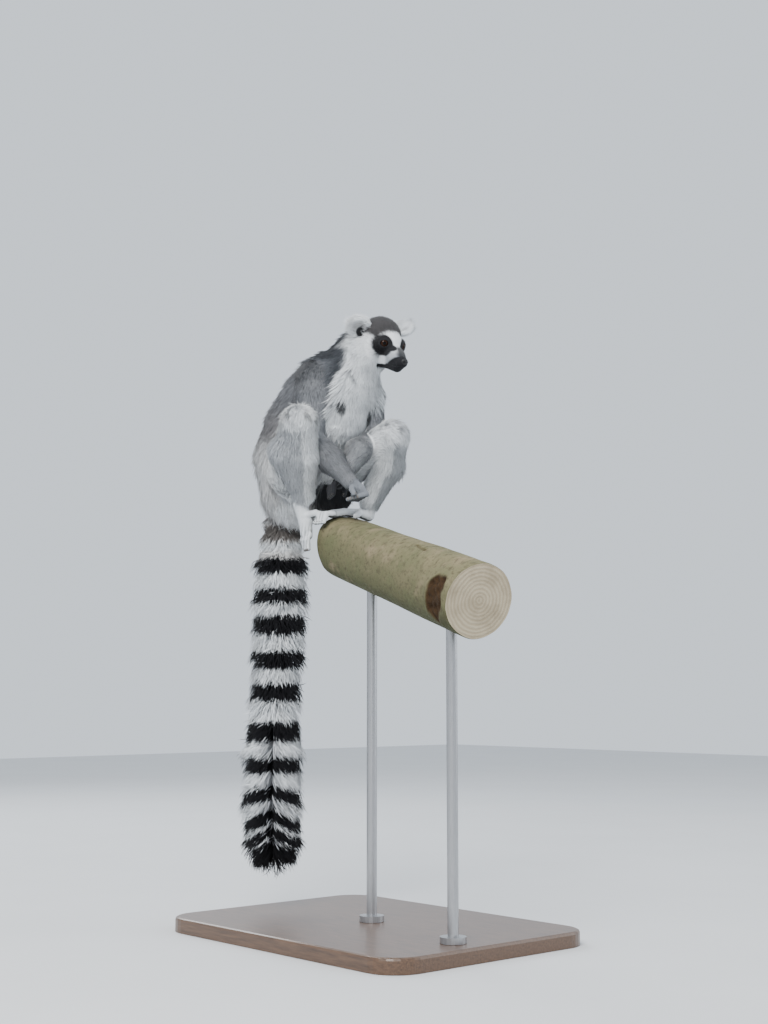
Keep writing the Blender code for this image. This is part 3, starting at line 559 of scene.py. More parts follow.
def mark_limbs(points, normals, name, marks):
    """Grey outside, white on the inner fronts of the shins, darker forearms and smudged knees."""
    height = points[:, 2]
    fore, shoulder = step(0.800, 0.770, height), step(0.840, 0.885, height)
    knee = step(0.768, 0.792, height)
    smudge = step(0.30, 0.75, wobble(points, 0.006, 4.0))
    for side, dark_fore, pale_fore in (("right", 0.24, 0.04), ("left", 0.0, 0.14)):
        put(marks, name == "arm_" + side, black=0.05 + dark_fore * fore + 0.45 * shoulder,
            white=0.14 + pale_fore * fore, brown=0.10)
        way, low, high = SHIN_FRONTS[side]
        pale = step(low, high, normals @ unit(np.array(way)) + ragged(points))
        thigh = marks["closest"] == THIGHS["leg_" + side]
        haunch = thigh * step(0.6, 0.2, normals[:, 2])
        put(marks, name == "leg_" + side, black=0.55 * knee * smudge,
            white=np.maximum(np.max([pale, 0.72 * knee, 0.85 * haunch], axis=0), 0.40),
            brown=0.04 + brown_touches(points) * 0.5 * thigh)
    strip = near_spot(points, SHOULDER_STRIP) * (name == "arm_left")
    deepen(marks, black=strip * 0.5, brown=strip * 0.5)


def mark_hands_feet(points, normals, name, marks):
    """Grey hands, the far one painted near black as shade, pale feet, dark bare pads and painted shade along
    the lines between the digits.
    """
    # painted shade along the lines between the right foot's toes and between all the digits
    lines = np.abs(np.sin(points @ TOE_SHADE_LINES_WAY / TOE_SHADE_LINES_GAP * math.pi))
    lines = step(0.80, 0.97, lines) * step(0.642, 0.622, points[:, 2]) * (name == "foot_right")
    between = np.maximum(digit_seam_shade(points), lines * 0.8) * 0.6
    foot_white = 0.90 - 0.12 * step(0.3, 0.7, wobble(points, 0.006, 9.0))
    pads = (normals @ np.array((0.35, 0.25, -0.9))) > 0.45
    # the far, left hand is painted near black as shade
    for part, white, black in (("hand_right", 0.10, 0.29), ("hand_left", 0.10, 0.93),
                               ("foot_right", foot_white, 0.0), ("foot_left", foot_white, 0.0)):
        put(marks, name == part, white=white, black=np.maximum(black, between))
    # painted shade where the left hand hides
    shaded = (name == "hand_left") | (name == "arm_left")
    deepen(marks, black=near_spot(points, HAND_SHADE) * 0.96 * shaded)
    ends = np.char.startswith(name, "hand") | np.char.startswith(name, "foot")
    put(marks, ends & pads, black=0.85, bare=1.0)


def mark_tail(points, normals, name, marks):
    """Brownish at its root, then black and white rings."""
    black, white, brown = tail_bands(points)
    put(marks, name == "tail", black=black, white=white, brown=brown)


def markings(points, normals):
    """Black, white and brown shares at points of the skin, where it is bare, and how its coat lies."""
    marks = nearest(points)
    marks.update({key: np.zeros(len(points)) for key in ("black", "white", "brown", "bare")})
    name = np.array(GROUPS)[marks["group"]]
    for mark_part in (mark_head, mark_ears, mark_trunk, mark_limbs, mark_hands_feet, mark_tail):
        mark_part(points, normals, name, marks)
    return marks


# ---------------- meshes
def link(obj):
    bpy.context.scene.collection.objects.link(obj)
    return obj


def mesh_object(name, points, faces, *materials):
    """A mesh object from numpy points and an array or list of faces."""
    mesh = bpy.data.meshes.new(name)
    if isinstance(faces, np.ndarray):
        mesh.vertices.add(len(points))
        mesh.vertices.foreach_set("co", points.astype(np.float32).ravel())
        mesh.loops.add(faces.size)
        mesh.loops.foreach_set("vertex_index", faces.astype(np.int32).ravel())
        mesh.polygons.add(len(faces))
        mesh.polygons.foreach_set("loop_start", np.arange(len(faces), dtype=np.int32) * faces.shape[1])
        mesh.update(calc_edges=True)
    else:
        mesh.from_pydata([tuple(point) for point in points], [], faces)
    mesh.validate()
    for made in materials:
        mesh.materials.append(made)
    return link(bpy.data.objects.new(name, mesh))


def read_values(items, key, width, kind=np.float32):
    """One value or vector of each item of a mesh, as rows of an array."""
    values = np.empty(len(items) * width, kind)
    items.foreach_get(key, values)
    return values.reshape(-1, width)


def mesh_points(mesh):
    return read_values(mesh.vertices, "co", 3).astype(float)


def mesh_normals(mesh):
    return read_values(mesh.vertex_normals, "vector", 3).astype(float)


def face_outward(mesh):
    bm = bmesh.new()
    bm.from_mesh(mesh)
    bmesh.ops.recalc_face_normals(bm, faces=bm.faces)
    bm.to_mesh(mesh)
    bm.free()


def store_values(mesh, name, values):
    """Write one number per point to the mesh."""
    layer = mesh.attributes.new(name, "FLOAT", "POINT")
    layer.data.foreach_set("value", values.astype(np.float32))


def store_marks(mesh, marks, tone):
    """Write the markings to the mesh as one colour attribute: black, white, brown and tone, which holds
    random tone and painted shade.
    """
    layer = mesh.color_attributes.new("marks", "FLOAT_COLOR", "POINT")
    values = np.stack([marks["black"], marks["white"], marks["brown"], tone], 1).astype(np.float32)
    layer.data.foreach_set("color", values.ravel())


SKIN_VOXEL, COARSE_VOXEL = 0.0016, 0.0064
FIELD_LIMIT = 0.004                              # the field is told no further from the skin than this
# the box that the flesh lies in
FLESH_LOW, FLESH_HIGH = (-0.16, -0.07, 0.06), (0.14, 0.29, 0.999)


def grid_places(*counts):
    """Whole-number places of all the cells of a grid."""
    return np.stack(np.meshgrid(*(np.arange(count) for count in counts), indexing="ij"), -1).reshape(-1, 3)


def field_mesh():
    """The skin's quads, from the field sampled finely only near its surface."""
    low = np.maximum(np.array(cad_low) - FIELD_LIMIT, FLESH_LOW)
    high = np.minimum(np.array(cad_high) + FIELD_LIMIT, FLESH_HIGH)
    ratio = round(COARSE_VOXEL / SKIN_VOXEL)
    cells = np.ceil((high - low) / COARSE_VOXEL).astype(int)
    places = grid_places(*cells)
    coarse = body_field(low + places * COARSE_VOXEL + (ratio - 1) / 2 * SKIN_VOXEL)
    close = np.abs(coarse) < COARSE_VOXEL * 1.2
    fine = np.where(coarse > 0, FIELD_LIMIT, -FIELD_LIMIT).reshape(cells).astype(np.float32)
    for axis in range(3):
        fine = np.repeat(fine, ratio, axis)
    index = (places[close][:, None, :] * ratio + grid_places(ratio, ratio, ratio)[None]).reshape(-1, 3)
    values = np.concatenate([body_field(low + part * SKIN_VOXEL) for part in np.array_split(index, 12)])
    fine[index[:, 0], index[:, 1], index[:, 2]] = np.clip(values, -FIELD_LIMIT, FIELD_LIMIT)
    grid = openvdb.FloatGrid(FIELD_LIMIT)
    grid.copyFromArray(fine)
    points, quads = grid.convertToQuads(0.0)
    a, b, c = (points[quads[:, corner]] for corner in range(3))
    if (a * np.cross(b, c)).sum() < 0:
        quads = quads[:, ::-1]
    return low + points.astype(float) * SKIN_VOXEL, np.ascontiguousarray(quads).astype(np.int32)


# in the head's own axes, the middle of the face, how far it reaches and where it starts
FACE_MIDDLE, FACE_REACH, FACE_BACK = (0.012, 0.0, -0.008), 0.036, -0.016


def settle(points):
    """Move points onto the zero surface of the body's field."""
    nudge = 0.0002
    for _ in range(3):
        value = body_field(points)
        slope = np.stack([body_field(points + nudge * axis) - value for axis in np.eye(3)], 1) / nudge
        strength = np.maximum((slope ** 2).sum(1), 0.25)
        points = points - slope * (np.clip(value, -0.001, 0.001) / strength)[:, None]
    return points


def build_skin():
    """The closed skin with its markings, finer on the face."""
    points, quads = field_mesh()
    obj = mesh_object("skin", points, quads)
    bm = bmesh.new()
    bm.from_mesh(obj.data)
    middle = Vector(in_head(FACE_MIDDLE))
    face_edges = set()
    for face in bm.faces:
        centre = face.calc_center_median()
        if (centre - middle).length < FACE_REACH and to_head(np.array(centre))[0] > FACE_BACK:
            face_edges.update(face.edges)
    bmesh.ops.subdivide_edges(bm, edges=list(face_edges), cuts=2, use_grid_fill=True)
    bmesh.ops.triangulate(bm, faces=[face for face in bm.faces if len(face.verts) > 4])
    bm.to_mesh(obj.data)
    bm.free()
    points = settle(mesh_points(obj.data))
    obj.data.vertices.foreach_set("co", points.astype(np.float32).ravel())
    obj.data.update()
    obj.data.shade_smooth()
    marks = markings(points, mesh_normals(obj.data))
    # the skin's tone of 0.42 is painted shade: a little darker than the coat above it
    store_marks(obj.data, marks, np.full(len(points), 0.42))
    return obj, marks


# ---------------- the coat
# piece: groups, number of tufts, reach over depth, width, segments, spread of the ways
COATS = (
    ("coat_head", ("head", "ear_right", "ear_left"), 19500, 2.3, 0.0010, 2, 0.16),
    ("coat_trunk_upper", ("torso",), 19500, 2.0, 0.0020, 2, 0.16),
    ("coat_trunk_lower", ("torso",), 19500, 2.4, 0.0020, 2, 0.20),
    ("coat_arms", ("arm_right", "arm_left"), 19000, 2.5, 0.0014, 2, 0.16),
    ("coat_legs", ("leg_right", "leg_left"), 19500, 2.4, 0.0016, 2, 0.16),
    ("coat_hands_feet", ("hand_right", "hand_left", "foot_right", "foot_left"), 12000, 2.4, 0.0007, 2, 0.16),
    ("coat_tail_upper", ("tail",), 10500, 1.0, 0.0023, 3, 0.30),
    ("coat_tail_lower", ("tail",), 12000, 1.0, 0.0023, 3, 0.30))
# lowest and highest root of the pieces that share a group
SPLIT_HEIGHT = {"coat_trunk_upper": (0.800, 2.0), "coat_trunk_lower": (0.0, 0.800),
                "coat_tail_upper": (0.330, 2.0), "coat_tail_lower": (0.0, 0.330)}
# where along a tuft its rings of points are
RING_SHARES = {2: (0.0, 0.5, 1.0), 3: (0.0, 0.45, 0.75, 1.0)}
TUFT_FLATNESS, ROOT_SINK = 0.8, 0.0006
# the OFBake map: a patch's radius and the margin round them all
PATCH_RADIUS, MAP_MARGIN = 0.0014, 0.003


def scatter(points, normals, corners, chosen, count):
    """Evenly spread roots on the chosen triangles, and the skin's way out at each."""
    corners = corners[chosen]
    a, b, c = (points[corners[:, index]] for index in range(3))
    area = np.linalg.norm(np.cross(b - a, c - a), axis=1)
    order = np.lexsort(np.floor(a.T / 0.012))
    total = np.cumsum(area[order])
    pick = order[np.searchsorted(total, (np.arange(count) + rng.random(count)) / count * total[-1])]
    s, t = np.sqrt(rng.random(count))[:, None], rng.random(count)[:, None]
    share = ((1 - s), s * (1 - t), s * t)
    root = sum(points[corners[pick, index]] * share[index] for index in range(3))
    way = unit(sum(normals[corners[pick, index]] * share[index] for index in range(3)))
    return root, way


def tuft_mesh(name, root, out, along, height, reach, width, segments, bend, marks):
    """Joined three-sided spikes, each rising to a height and reaching along the coat's lie."""
    count = len(root)
    side = unit(np.cross(out, along))
    verts = []
    for share in RING_SHARES[segments]:
        rise = 1.0 - (1.0 - share) ** bend[0]
        run = share ** bend[1]
        centre = root + out * (height * rise - ROOT_SINK)[:, None] + along * (reach * run)[:, None]
        if share == 1.0:
            verts.append(centre)
            break
        half = width * (1.0 - share) ** 0.6 * (0.75 + 0.5 * share)
        for turn in range(3):
            angle = turn * math.tau / 3 + 0.5
            verts.append(centre + side * (half * math.cos(angle) * 0.5)[:, None]
                         + out * (half * math.sin(angle) * 0.5 * TUFT_FLATNESS)[:, None])
    size = len(verts)
    verts = np.stack(verts, 1)
    faces = [(0, 2, 1)]
    for ring in range(segments - 1):
        for turn in range(3):
            a, b = ring * 3 + turn, ring * 3 + (turn + 1) % 3
            faces += [(a, b, b + 3), (a, b + 3, a + 3)]
    last = (segments - 1) * 3
    faces += [(last + turn, last + (turn + 1) % 3, size - 1) for turn in range(3)]
    faces = np.array(faces)[None] + (np.arange(count) * size)[:, None, None]
    obj = mesh_object(name, verts.reshape(-1, 3), faces.reshape(-1, 3))
    # each tuft's own tone, less painted shade at the throat's crease and the tail's parting, and its painted
    # shade from root to tip
    clump = wobble(root, 0.0075, 8.0) * 0.13 + wobble(root, 0.0032, 9.0) * 0.07
    own_tone = rng.normal(0.5, 0.20 if name == "coat_arms" else 0.12, count) + clump - marks["deep"]
    tone = own_tone[:, None] + np.linspace(-0.12, 0.10, segments + 1)[np.arange(size) // 3]
    spread = {key: np.repeat(marks[key], size) for key in ("black", "white", "brown")}
    if "tail" in name:
        stray = rng.normal(0.0, 0.0028, count)[:, None, None] * (0, 0, 1)
        spread = dict(zip(("black", "white", "brown"), tail_bands((verts + stray).reshape(-1, 3))))
    store_marks(obj.data, spread, np.clip(tone, 0.0, 1.0).ravel())
    own = mesh_normals(obj.data)
    soft = unit(own * 0.55 + np.repeat(unit(out + along * 0.25), size, 0) * 0.75)
    obj.data.shade_smooth()
    obj.data.normals_split_custom_set_from_vertices(soft)
    root_patches(obj.data, marks, size, count)
    return obj


def root_patches(mesh, marks, size, count):
    """The OFBake map: each tuft is a small patch at its root's place on the unrolled skin."""
    across = marks["angle"] / math.tau % 1.0
    down = marks["closest"] + marks["share"]
    v = np.empty(count)
    v[np.argsort(down, kind="stable")] = (np.arange(count) + 0.5) / count
    u, v = (value * (1 - 2 * MAP_MARGIN) + MAP_MARGIN for value in (across, v))
    layer = mesh.uv_layers.new(name="OFBake")
    corners = read_values(mesh.loops, "vertex_index", 1, np.int32)[:, 0]
    local, tuft = corners % size, corners // size
    angle = (local % 3) * math.tau / 3
    level = (local // 3) / 3.0
    radius = PATCH_RADIUS * (1 - 0.5 * level)
    place = np.stack([u[tuft] + radius * np.cos(angle), v[tuft] + radius * np.sin(angle) + 0.0003 * level], 1)
    layer.data.foreach_set("uv", place.astype(np.float32).ravel())


def angle_round(points, closest):
    """The angle of each point round the axis of the solid it is nearest to."""
    angle = np.zeros(len(points))
    for index, solid in enumerate(solids):
        here = closest == index
        if not here.any():
            continue
        if solid["kind"] == "cone":
            axis = unit(solid["b"] - solid["a"])
        else:
            axis = AXES[0] if solid["group"] == "head" else np.array((0.0, 0.3, -0.95))
        first = unit(np.cross(axis, (0.31, 0.89, 0.33)))
        second = np.cross(axis, first)
        local = points[here] - solid["a"]
        angle[here] = np.arctan2(local @ second, local @ first)
    return angle


def build_coat(skin, skin_marks):
    """The pieces of the coat, their tufts rooted in the skin and lying along the body."""
    points, normals = mesh_points(skin.data), mesh_normals(skin.data)
    skin.data.calc_loop_triangles()
    corners = read_values(skin.data.loop_triangles, "vertices", 3, np.int32)
    group = skin_marks["group"][corners[:, 0]]
    height = points[corners[:, 0], 2]
    made = []
    for name, groups, count, stretch, width, segments, stray in COATS:
        tail = groups == ("tail",)
        chosen = np.isin(group, [GROUPS.index(item) for item in groups])
        low, high = SPLIT_HEIGHT.get(name, (0.0, 2.0))
        root, out = scatter(points, normals, corners, chosen & (height >= low) & (height < high), count)
        marks = markings(root, out)
        keep = marks["bare"] < 0.5
        root, out = root[keep], out[keep]
        marks = {key: value[keep] for key, value in marks.items()}
        marks["angle"] = angle_round(root, marks["closest"])
        # painted shade along the crease across the throat
        marks["deep"] = 0.30 * np.exp(-(curve_distance(root, THROAT_FOLD) / 0.0028) ** 2)
        high_up = root[:, 2]

        # the lie of each tuft, with small strays and waves
        flow = marks["flow"] + rng.normal(0.0, stray, root.shape)
        for axis in range(3):
            flow[:, axis] += wobble(root, 0.009, 11.0 + axis) * 0.30
        if name.startswith("coat_trunk"):
            flow[:, 2] -= 0.30
        if tail:
            sideways = out @ PARTING_SIDE
            parted = step(0.36, 0.30, high_up) * step(0.0, 0.5, out @ PARTING_WAY)
            sweep = np.sign(sideways) * np.exp(-(sideways / 0.75) ** 2) * parted
            flow += sweep[:, None] * PARTING_SIDE * 0.9
            # painted shade along the tail's parting
            marks["deep"] = parted * np.exp(-(sideways / 0.16) ** 2) * 0.45
        along = unit(flow - out * (flow * out).sum(1)[:, None])

        # how high each tuft stands: wisps at the chest's edge, a few guard hairs, soft white fur
        depth = marks["depth"] * rng.uniform(0.72, 1.04, len(root))
        wisp, soft = np.zeros(len(root)), np.zeros(len(root))
        if name == "coat_trunk_upper":
            wisp = np.exp(-((chest_edge(root) + 0.006) / 0.006) ** 2) * step(0.10, 0.40, -out[:, 1])
            wisp *= step(0.905, 0.890, high_up) * (rng.random(len(root)) < 0.5)
            along = unit(along + np.sign(root[:, :1] - 0.018) * (wisp * 0.7)[:, None] * (1, 0, 0))
            soft = step(0.5, 0.9, marks["white"]) * (1 - wisp)
        guard = (rng.random(len(root)) < 0.10) * (name.startswith(("coat_trunk", "coat_legs")))
        depth *= (1.0 + 0.45 * guard + 0.25 * wisp) * (1 - 0.30 * soft)
        if name == "coat_arms":
            depth *= 1.0 + 0.35 * step(0.800, 0.780, high_up) * step(0.705, 0.720, high_up)
        if name == "coat_head":
            on_ear = marks["group"] != GROUPS.index("head")
            stretch = stretch + 1.5 * on_ear + 0.8 * step(-0.020, -0.035, to_head(root)[:, 0])
            depth *= 1.0 + 0.3 * on_ear
        least, most = (0.60, 0.95) if tail else (0.8, 1.2)
        reach = depth * stretch * rng.uniform(least, most, len(root)) * (1.0 + 0.7 * wisp)
        bend = (1.7, 1.5) if tail else (1.5, 1.1)
        size = width * rng.uniform(0.75, 1.25, len(root))
        size *= np.clip(marks["depth"] / 0.004, 0.55, 1.0) if name == "coat_head" else 1.0 - 0.35 * soft
        made.append(tuft_mesh(name, root, out, along, depth, reach, size, segments, bend, marks))
    return made


# ---------------- materials
def rgba(value):
    """A colour with its alpha, from a colour or a grey; a socket stays as it is."""
    if isinstance(value, (int, float)):
        value = (value,) * 3
    return (*value, 1.0) if isinstance(value, tuple) and len(value) == 3 else value


class Paint:
    """A material under way: its nodes, and short ways to add to them."""

    def __init__(self, name):
        self.made = bpy.data.materials.new(name)
        self.made.use_nodes = True
        self.nodes, self.links = self.made.node_tree.nodes, self.made.node_tree.links
        self.shader = self.nodes["Principled BSDF"]

    def fill(self, node, inputs):
        """Link or set a node's inputs; each value is a socket or a plain value."""
        for key, value in inputs.items():
            if isinstance(value, bpy.types.NodeSocket):
                self.links.new(value, node.inputs[key])
            else:
                node.inputs[key].default_value = value

    def node(self, kind, inputs, **settings):
        node = self.nodes.new(kind)
        for name, value in settings.items():
            setattr(node, name, value)
        self.fill(node, inputs)
        return node

    def attribute(self, name):
        return self.node("ShaderNodeAttribute", {}, attribute_name=name).outputs

    def mix(self, share, first, second, kind="MIX"):
        return self.node("ShaderNodeMix", {0: share, 6: rgba(first), 7: rgba(second)},
                         data_type="RGBA", blend_type=kind).outputs[2]

    def noise(self, scale, detail=4.0, roughness=0.6, stretch=None, turn=(0.0, 0.0, 0.0)):
        """A noise texture in the object's own coordinates, stretched if asked."""
        vector = self.node("ShaderNodeTexCoord", {}).outputs["Object"]
        if stretch:
            stretched = {"Vector": vector, "Scale": stretch, "Rotation": turn}
            vector = self.node("ShaderNodeMapping", stretched).outputs[0]
        inputs = {"Vector": vector, "Scale": scale, "Detail": detail, "Roughness": roughness}
        return self.node("ShaderNodeTexNoise", inputs).outputs["Fac"]

    def ramp(self, value, *stops):
        """Greys or colours between stops, each a position and a grey or colour."""
        node = self.node("ShaderNodeValToRGB", {0: value})
        while len(node.color_ramp.elements) < len(stops):
            node.color_ramp.elements.new(0.5)
        for element, (position, colour) in zip(node.color_ramp.elements, stops):
            element.position = position
            element.color = rgba(colour)
        return node.outputs[0]

    def bump(self, height, distance, strength):
        bump = self.node("ShaderNodeBump", {"Strength": strength, "Distance": distance, "Height": height})
        self.fill(self.shader, {"Normal": bump.outputs[0]})

    def finish(self, colour, numbers):
        """Set the shader's colour and its plain numbers, and give the material."""
        self.fill(self.shader, {"Base Color": colour, **numbers})
        return self.made


GREY_FUR = (0.215, 0.235, 0.265)
WHITE_FUR = (0.84, 0.87, 0.89)
BLACK_FUR = (0.010, 0.010, 0.012)
BROWN_FUR = (0.30, 0.225, 0.165)


def fur_material(name, skin=False, crisp=False):
    """Fur coloured by the markings; crisp has sharp black edges, skin has a fine bump."""
    paint = Paint(name)
    marks = paint.attribute("marks")
    black, white, brown = paint.node("ShaderNodeSeparateColor", {0: marks["Color"]}).outputs
    fleck = paint.noise(240.0, 3.0, 0.7)
    colour = paint.mix(fleck, tuple(v * 0.78 for v in GREY_FUR), tuple(v * 1.22 for v in GREY_FUR))
    colour = paint.mix(white, colour, WHITE_FUR)
    colour = paint.mix(brown, colour, BROWN_FUR)
    if crisp:
        black = paint.ramp(black, (0.34, 0.0), (0.66, 1.0))
    colour = paint.mix(black, colour, BLACK_FUR)
    # tone darkens or lightens the colour: each tuft's random tone, and painted shade
    shade = paint.ramp(marks["Alpha"], (0.0, (0.40, 0.40, 0.42)), (0.5, 0.93), (1.0, 1.22))
    if skin:
        paint.bump(paint.noise(700.0, 3.0, 0.7), 0.0006, 0.8)
    return paint.finish(paint.mix(1.0, colour, shade, "MULTIPLY"), {
        "Roughness": 0.85, "Specular IOR Level": 0.12, "Sheen Weight": 0.06, "Sheen Roughness": 0.5})


# ---------------- eyes, nose and nails
def ball_mesh(name, around, up_count, place, made):
    """A closed ball from rings; place(theta, phi) gives the point at each polar and round angle."""
    points, faces = [place(0.0, 0.0)], []
    for row in range(1, up_count):
        for column in range(around):
            points.append(place(math.pi * row / up_count, math.tau * column / around))
    points.append(place(math.pi, 0.0))
    for column in range(around):
        other = (column + 1) % around
        faces.append((0, 1 + column, 1 + other))
        for row in range(up_count - 2):
            a, b = 1 + row * around, 1 + (row + 1) * around
            faces.append((a + column, b + column, b + other, a + other))
        last = 1 + (up_count - 2) * around
        faces.append((len(points) - 1, last + other, last + column))
    obj = mesh_object(name, points, faces, made)
    face_outward(obj.data)
    obj.data.shade_smooth()
    return obj


# the drawn ball's share of the eye's radius, and how far and how widely its cornea bulges
BALL_SHARE, CORNEA_BULGE, CORNEA_SPREAD = 0.985, 0.07, 0.55


def build_eye(side, made):
    """A ball with a bulging cornea, that knows at each point how far it is from the pupil's middle."""
    centre, across, rise, look = eye_frame(side)

    def place(theta, phi):
        bulge = 1.0 + CORNEA_BULGE * math.exp(-(theta / CORNEA_SPREAD) ** 2)
        ring = across * math.cos(phi) + rise * math.sin(phi)
        return centre + (look * math.cos(theta) + ring * math.sin(theta)) * EYE_RADIUS * BALL_SHARE * bulge

    name = "eye_right" if side < 0 else "eye_left"
    obj = ball_mesh(name + "_ball", 48, 40, place, made)
    angle = np.arccos(np.clip(unit(mesh_points(obj.data) - centre) @ look, -1, 1))
    store_values(obj.data, "gaze", angle / math.pi)
    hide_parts(name)
    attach(obj, "root")


def eye_material():
    """Black pupil, red-brown iris with a dark rim, and a dark white of the eye."""
    paint = Paint("eye")
    pupil = (0.001, 0.001, 0.001)
    colour = paint.ramp(paint.attribute("gaze")["Fac"], (0.0, pupil), (0.106, pupil),
                        (0.118, (0.026, 0.010, 0.004)), (0.185, (0.020, 0.007, 0.003)),
                        (0.235, (0.006, 0.003, 0.002)), (0.27, (0.006, 0.004, 0.003)),
                        (1.0, (0.02, 0.012, 0.010)))
    streaks = paint.mix(paint.noise(900.0, 3.0, 0.7), 0.6, 1.4)
    return paint.finish(paint.mix(0.4, colour, streaks, "MULTIPLY"), {
        "Roughness": 0.12, "Specular IOR Level": 0.06, "Coat Weight": 0.12, "Coat Roughness": 0.03})


NOSTRIL_PLACE, NOSTRIL_RADIUS, NOSTRIL_DEPTH = (0.0040, 0.0036, -0.0006), 0.0016, 0.0030
PHILTRUM_WIDTH, PHILTRUM_DEPTH = 0.0007, 0.0005


def build_nose(made):
    """The bare pad of the nose, with two nostrils and a groove down its middle."""
    def place(theta, phi):
        way = np.array((math.cos(theta), math.sin(theta) * math.cos(phi), math.sin(theta) * math.sin(phi)))
        local = way * np.array(NOSE_RADII) * 0.99
        for side in (-1, 1):
            nostril = np.array(NOSTRIL_PLACE) * (1, side, 1)
            near = math.exp(-(np.linalg.norm(local - nostril) / NOSTRIL_RADIUS) ** 2)
            local = local - way * near * NOSTRIL_DEPTH
        local = local - way * math.exp(-(local[1] / PHILTRUM_WIDTH) ** 2) * PHILTRUM_DEPTH * (way[0] > 0)
        return in_head(np.array(NOSE_PLACE) + local)

    obj = ball_mesh("nose_pad", 56, 44, place, made)
    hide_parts("nose")
    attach(obj, "root")


def nose_material():
    paint = Paint("nose_skin")
    grain = paint.noise(1400.0, 2.0, 0.6)
    paint.bump(grain, 0.0003, 0.6)
    return paint.finish(paint.ramp(grain, (0.3, (0.006, 0.006, 0.007)), (0.7, (0.016, 0.016, 0.018))), {
        "Roughness": 0.42, "Specular IOR Level": 0.3})


NAIL_ROWS, NAIL_COLUMNS, NAIL_ARC, NAIL_THICKNESS = 5, 7, 1.4, 0.00055
# how deep and how far back a nail is set, how far its end dips, and how much shorter it is at its sides
NAIL_SINK, NAIL_BACK, NAIL_DIP, NAIL_TAPER = 0.0002, 0.0005, 0.0012, 0.0010
NAIL_LENGTHS = {"hand_right": 0.0038, "hand_left": 0.0038, "foot_right": 0.0038, "foot_left": 0.0018}


def nail_points(name, chain):
    """Outer then inner points of the nail at the end of one finger or toe."""
    outward = unit(np.array(DIGITS[name][5]))
    knuckle, (tip, radius, _) = np.array(chain[1][0]), chain[2]
    forward = unit(np.array(tip) - knuckle)
    rise = unit(outward - forward * (outward @ forward))
    across = np.cross(forward, rise)
    points = []
    for layer in (0.0, -NAIL_THICKNESS):
        for row in range(NAIL_ROWS):
            down = row / (NAIL_ROWS - 1)
            for column in range(NAIL_COLUMNS):
                turn = (column / (NAIL_COLUMNS - 1) - 0.5) * NAIL_ARC
                out = radius - NAIL_SINK + layer - NAIL_DIP * down ** 2
                shift = down * (NAIL_LENGTHS[name] - NAIL_TAPER * abs(turn)) - NAIL_BACK
                ring = rise * math.cos(turn) + across * math.sin(turn)
                points.append(np.array(tip) + ring * out + forward * shift)
    return points


def nail_faces(first):
    """Faces of a nail whose points start at the number given."""
    rows, columns, size = NAIL_ROWS, NAIL_COLUMNS, NAIL_ROWS * NAIL_COLUMNS
    faces = []
    for row in range(rows - 1):
        for column in range(columns - 1):
            a = first + row * columns + column
            faces.append((a, a + 1, a + columns + 1, a + columns))
            b = a + size
            faces.append((b, b + columns, b + columns + 1, b + 1))
    rim = [*range(columns), *(row * columns + columns - 1 for row in range(1, rows)),
           *((rows - 1) * columns + column for column in range(columns - 2, -1, -1)),
           *(row * columns for row in range(rows - 2, 0, -1))]
    return faces + [(first + b, first + a, first + a + size, first + b + size)
                    for a, b in zip(rim, rim[1:] + rim[:1])]


def build_nails(pale, dark):
    """A small curved nail on the back of each finger's and toe's end, joined into one mesh."""
    points, faces, shades = [], [], []
    for name in DIGITS:
        for chain in digit_chains(name):
            faces += nail_faces(len(points))
            points += nail_points(name, chain)
        # the left hand's nails take the second, darker material as painted shade
        shades += [int(name == "hand_left")] * (len(faces) - len(shades))
    obj = mesh_object("nails", points, faces, pale, dark)
    obj.data.polygons.foreach_set("material_index", shades)
    face_outward(obj.data)
    obj.data.shade_smooth()
    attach(obj, "root")


def nail_material(name, colour):
    paint = Paint(name)
    darker = tuple(0.5 * part for part in colour)
    return paint.finish(paint.ramp(paint.noise(500.0), (0.3, darker), (0.7, colour)), {"Roughness": 0.35})


# ---------------- perch and stand
# middle of the knot, and its half length along the log and across it
KNOT_PLACE, KNOT_ALONG, KNOT_ACROSS = np.array((-0.0912, -0.2567, 0.5015)), 0.026, 0.034
CRACK = ((-0.0490, -0.1560, 0.5850), (-0.0570, -0.1700, 0.5800), (-0.0610, -0.1860, 0.5745))
# points round the log's section, and steps along it
LOG_AROUND, LOG_ROWS = 240, 260
# how far in the rings of the sawn ends lie, as shares of the rim
SAWN_RINGS = (0.965, 0.8, 0.6, 0.4, 0.2, 0.07)


def knot_reach(points):
    """1 at the knot's rim, less inside it."""
    offset = points - KNOT_PLACE
    along = offset @ np.array(LOG_AXIS)
    across = np.linalg.norm(offset - along[:, None] * np.array(LOG_AXIS), axis=1)
    return np.hypot(along / KNOT_ALONG, across / KNOT_ACROSS) + wobble(points, 0.008, 5.0) * 0.15


def log_section(distance, angle):
    """Radius of the log's section at a distance along it and an angle from level."""
    power = 2.0 + LOG_SQUARENESS * max(0.0, 1.0 - max(distance, 0.0) / LOG_LENGTH)
    across, upright = abs(math.cos(angle)), abs(math.sin(angle))
    radius = LOG_RADIUS_END + (LOG_RADIUS_FAR - LOG_RADIUS_END) * distance / LOG_LENGTH
    lump = math.exp(-((angle - LUMP_ANGLE) / LUMP_WIDTH) ** 2 - (max(distance, 0.0) / LUMP_LENGTH) ** 2)
    return radius * (across ** power + upright ** power) ** (-1.0 / power) + LUMP_HEIGHT * lump


def ring_faces(first, second):
    """Quads between two rings of the log's points, from the numbers that they start at."""
    turns = ((column, (column + 1) % LOG_AROUND) for column in range(LOG_AROUND))
    return [(first + column, first + other, second + other, second + column) for column, other in turns]


